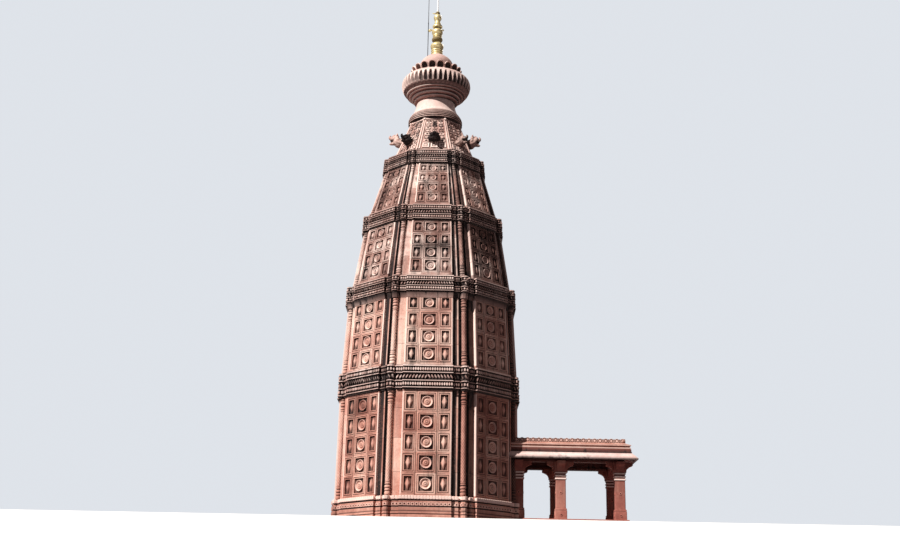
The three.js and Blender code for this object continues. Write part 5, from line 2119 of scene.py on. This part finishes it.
        # The floor is painted dark in its set-back groove, as shade.
        floor = self.paved([(edge, 0, 0.3), (edge, 0.2, 0.1), (edge - 0.012, 0.21, 0.8), (edge - 0.012, 0.225,
                                                                                          0.8),
                            (edge, 0.235, 0.1), (edge, 0.29, 0.1), (edge - 0.01, 0.3, 0.1)])
        shop.piece("porch_floor_edged", "porch_floor", floor, PORCH_STONE)
        random = np.random.default_rng(8)
        inner, outer = self.half_depth - self.column, self.half_depth
        for sign, word in ((-1, Edge.FRONT.word), (1, Edge.REAR.word)):
            for number, x in enumerate(self.rows, 1):
                shell = self.column_shell(x, sign * (inner + outer) / 2, random.uniform(-0.6, 0.6))
                shop.piece(f"porch_column_{word}_{number}_carved", f"porch_column_{word}_{number}", shell,
                           PORCH_STONE)
            beam = self.beam((self.start, self.end), tuple(sorted((sign * inner, sign * outer))))
            shop.piece(f"porch_beam_{word}_cut", f"porch_beam_{word}", beam, PORCH_STONE)
        beam = self.beam((self.end - self.column, self.end), (-inner, inner))
        shop.piece("porch_beam_end_cut", "porch_beam_end", beam, PORCH_STONE)
        out, z, soot = np.array([(0.26, foot, 1), (0.26, foot + 0.03, 0.9), (0.245, foot + 0.05, 0.9),
                                 (0.24, foot + 0.11, 0.8), (0.24, roof, 0.4)]).T
        shop.piece("porch_roof_slab", "porch_roof", capped(self.outline(out, z), soot[:, None]), PORCH_STONE)
        for side in Edge:
            shop.piece(f"eave_{side.word}_slabs", f"eave_{side.word}", self.eave(side), PALE_STONE)
        cornice = self.rim([(out, roof + rise, soot) for out, rise, soot in self.CORNICE] + [(0.07, top, 0)],
                           -0.14)
        shop.piece("porch_cornice_cut", "porch_cornice", cornice, ROOF_STONE)
        parapet = self.rim([(0.06, top, 0.1), (0.045, top + 0.02, 0.1), (0.03, top + 0.03, 0.7),
                            (0.03, self.parapet_top - 0.035, 0.8), (0.02, self.parapet_top - 0.03, 0)], -0.09)
        shop.piece("porch_parapet_crested", "porch_parapet", Shell.join([parapet, self.crests()]), ROOF_STONE)


# Light, floor and camera


@dataclass
class Studio:
    """The pale floor, the lights and the camera at the photograph's angle.

    Attributes:
        sun_side, sun_height: How far left of the front and how high the light stands, in degrees.
        sun, fill, backdrop: The strength of that light, of the light all round and of the pale background.
        lens, camera: The camera's lens in millimetres, and where it stands.
        pitch, roll: How far it is tipped up and turned about its line of sight, in degrees.
        brink, fall, reach: Where the floor starts to fall in front, how far it falls and over what distance.
    """

    sun_side: float = 48.0
    sun_height: float = 44.0
    sun: float = 6.8
    fill: float = 0.16
    backdrop: float = 0.82
    lens: float = 47.38
    camera: tuple[float, float, float] = (0.781, -48.51, -3.96)
    pitch: float = 16.707
    roll: float = 1.074
    brink: float = -4.4
    fall: float = 5.8
    reach: float = 12.0

    def floor(self) -> None:
        """The floor: level round the tower and falling away in front, z = -fall (1 - (1 - t)^2.2).

        Here t is how far a point lies past the brink, as a part of the reach, kept between 0 and 1.
        """
        y = np.array([-400, -120, -60, -34, -26, -20, -15, -12, -9.5, -7.5, -6.2, -5.4, -4.9, -4.6, -4.4,
                      -4.2, 0,
                      20, 80, 400])[:, None]
        x = np.linspace(-400, 400, 5)
        t = np.clip((self.brink - y) / self.reach, 0, 1)
        z = -self.fall * (1 - (1 - t) ** 2.2) - JOINT
        points = np.stack(np.broadcast_arrays(x, y, z), -1)
        shell = Shell.grid(points, ring=False)
        thing = shown("pale_floor", Workshop().mesh("pale_floor", shell))
        thing.data.materials.append(Ground().material())
        thing.visible_diffuse = False

    def lamp(self, name: str, side: float, height: float, strength: float, spread: float,
             colour: tuple) -> None:
        """A far lamp that shines from left of the front side and from a height.

        Args:
            name: The lamp's name.
            side, height: How far left of the front and how high it stands, in degrees.
            strength, colour: Its light.
            spread: How large it looks, in degrees.
        """
        lamp = bpy.data.lights.new(name, "SUN")
        lamp.energy, lamp.angle, lamp.color = strength, math.radians(spread), colour
        thing = shown(name, lamp)
        a, h = math.radians(side), math.radians(height)
        away = Vector((-math.sin(a) * math.cos(h), -math.cos(a) * math.cos(h), math.sin(h)))
        thing.rotation_euler = away.to_track_quat("Z", "Y").to_euler()
        thing.location = away * 60

    def lights(self) -> None:
        """The main lamp, a soft one from behind for the far sides, and the pale surroundings."""
        self.lamp("main_lamp", self.sun_side, self.sun_height, self.sun, 0.6, (1, 0.965, 0.92))
        self.lamp("back_lamp", 205.0, 38.0, 1.2, 20.0, (1, 0.97, 0.94))
        world = bpy.data.worlds.new("surroundings")
        bpy.context.scene.world = world
        wires = Wires(world)
        shown = wires.node("ShaderNodeBackground", {}, {0: (0.9, 0.94, 1, 1), 1: self.backdrop})
        lit = wires.node("ShaderNodeBackground", {}, {0: (1, 0.85, 0.88, 1), 1: self.fill})
        seen = wires.node("ShaderNodeLightPath").outputs["Is Camera Ray"]
        sockets = {number: Socket(wires, output) for number, output in enumerate((seen, lit.outputs[0],
                                                                                  shown.outputs[0]))}
        mixed = wires.node("ShaderNodeMixShader", {}, sockets)
        wires.node("ShaderNodeOutputWorld", {}, {0: Socket(wires, mixed.outputs[0])})

    def view(self) -> None:
        """The camera: level turn none, pitched up, and rolled about its own line of sight."""
        data = bpy.data.cameras.new("camera")
        data.lens, data.sensor_width, data.clip_end = self.lens, 36.0, 900.0
        thing = shown("camera", data)
        turn = Matrix.Rotation(math.radians(90 + self.pitch), 4,
                               "X") @ Matrix.Rotation(math.radians(self.roll), 4, "Z")
        thing.matrix_world = Matrix.Translation(self.camera) @ turn
        bpy.context.scene.camera = thing

    def build(self) -> None:
        """Sets up the studio."""
        bpy.context.scene.view_settings.view_transform = "Standard"
        self.floor()
        self.lights()
        self.view()


STAGES = (
    Stage(0.8, 4.9, 3.65, 3.61, 1, 2.9, (1.31, 2.1, 2.88, 3.66, 4.44), (0.28,) * 5, (0.22,) * 5, (1.75, 3.05,
                                                                                                  4.2),
          tones=(-0.6, -0.5, -0.3, 0, 0, -0.1, 0.6, 0.2),
          stains=((Side.SOUTH_WEST, -0.7, 4.4, 0.8, 0.6, 0.45), (Side.SOUTH_WEST, -0.6, 3, 0.5, 1, 0.15))),
    Stage(5.88, 8.64, 3.59, 3.44, 2, 2.85, (6.32, 7.03, 7.72, 8.41), (0.26, 0.245, 0.24, 0.21), (0.21, 0.21,
                                                                                                 0.205,
                                                                                                 0.175),
          (6.75, 7.75), "second_stage", PALER_SANDSTONE, (-0.6, -0.5, -0.3, 0, 0.1, 0.5, 1, 0)),
    Stage(9.55, 12.06, 3.31, 2.92, 3, 2.65, (10.02, 10.6, 11.19, 11.75), (0.235, 0.22, 0.19, 0.19),
          (0.2, 0.175, 0.155, 0.16),
          (10.45, 11.3), "third_stage", STAINED_SANDSTONE, (-0.6, -0.5, -0.3, 0, 0, 0.2, 0.6, -0.6),
          ((Side.SOUTH, 0.2, 10.85, 1.5, 0.33, 0.5), (Side.SOUTH, 0.65, 11.02, 0.5, 0.2, 0.4),
           (Side.SOUTH, -0.7, 10.75, 0.4, 0.3, 0.25),
           (Side.SOUTH_WEST, -0.9, 10, 0.5, 0.5, 0.4), (Side.SOUTH_EAST, 0, 11.1, 1.2, 0.9, 0.45)), 0.7),
    Stage(12.74, 14.86, 2.76, 2.15, 4, 2.2, (13.15, 13.66, 14.15, 14.61), (0.17, 0.16, 0.14, 0.135),
          (0.16, 0.15, 0.135, 0.13),
          (13.6, 14.3), "fourth_stage", STAINED_SANDSTONE, (-0.3, -0.5, -0.3, 0, 0, -0.7, 0.3, 0.8),
          ((Side.SOUTH_WEST, -0.7, 13.9, 0.6, 0.8, 0.4), (Side.SOUTH, 0.3, 13.8, 0.8, 0.5, 0.2)), 0.5),
)
CORNICES = (
    Cornice(4.9, 5.88, 3.71, 3.69, 1, 2.875, 0.125),
    Cornice(8.86, 9.55, 3.55, 3.53, 2, 2.65, 0.105, 8.64, 3.44),
    Cornice(12.06, 12.74, 3, 2.97, 3, 2.2, 0.105, grime=0.1),
    Cornice(14.86, 15.48, 2.23, 2.18, 4, 1.3, 0.1, grime=0.25),
)


def main() -> None:
    """Builds the tower from the ground up, then the porch and the studio."""
    logging.basicConfig(level=logging.INFO, format="%(message)s")
    shop = Workshop()
    Base().build(shop)
    for stage in STAGES:
        stage.build(shop)
    for cornice in CORNICES:
        cornice.build(shop)
    Cone().build(shop)
    Lion().build(shop)
    RoundTop().build(shop)
    Finial().build(shop)
    Porch().build(shop)
    Studio().build()


if __name__ == "__main__":
    main()
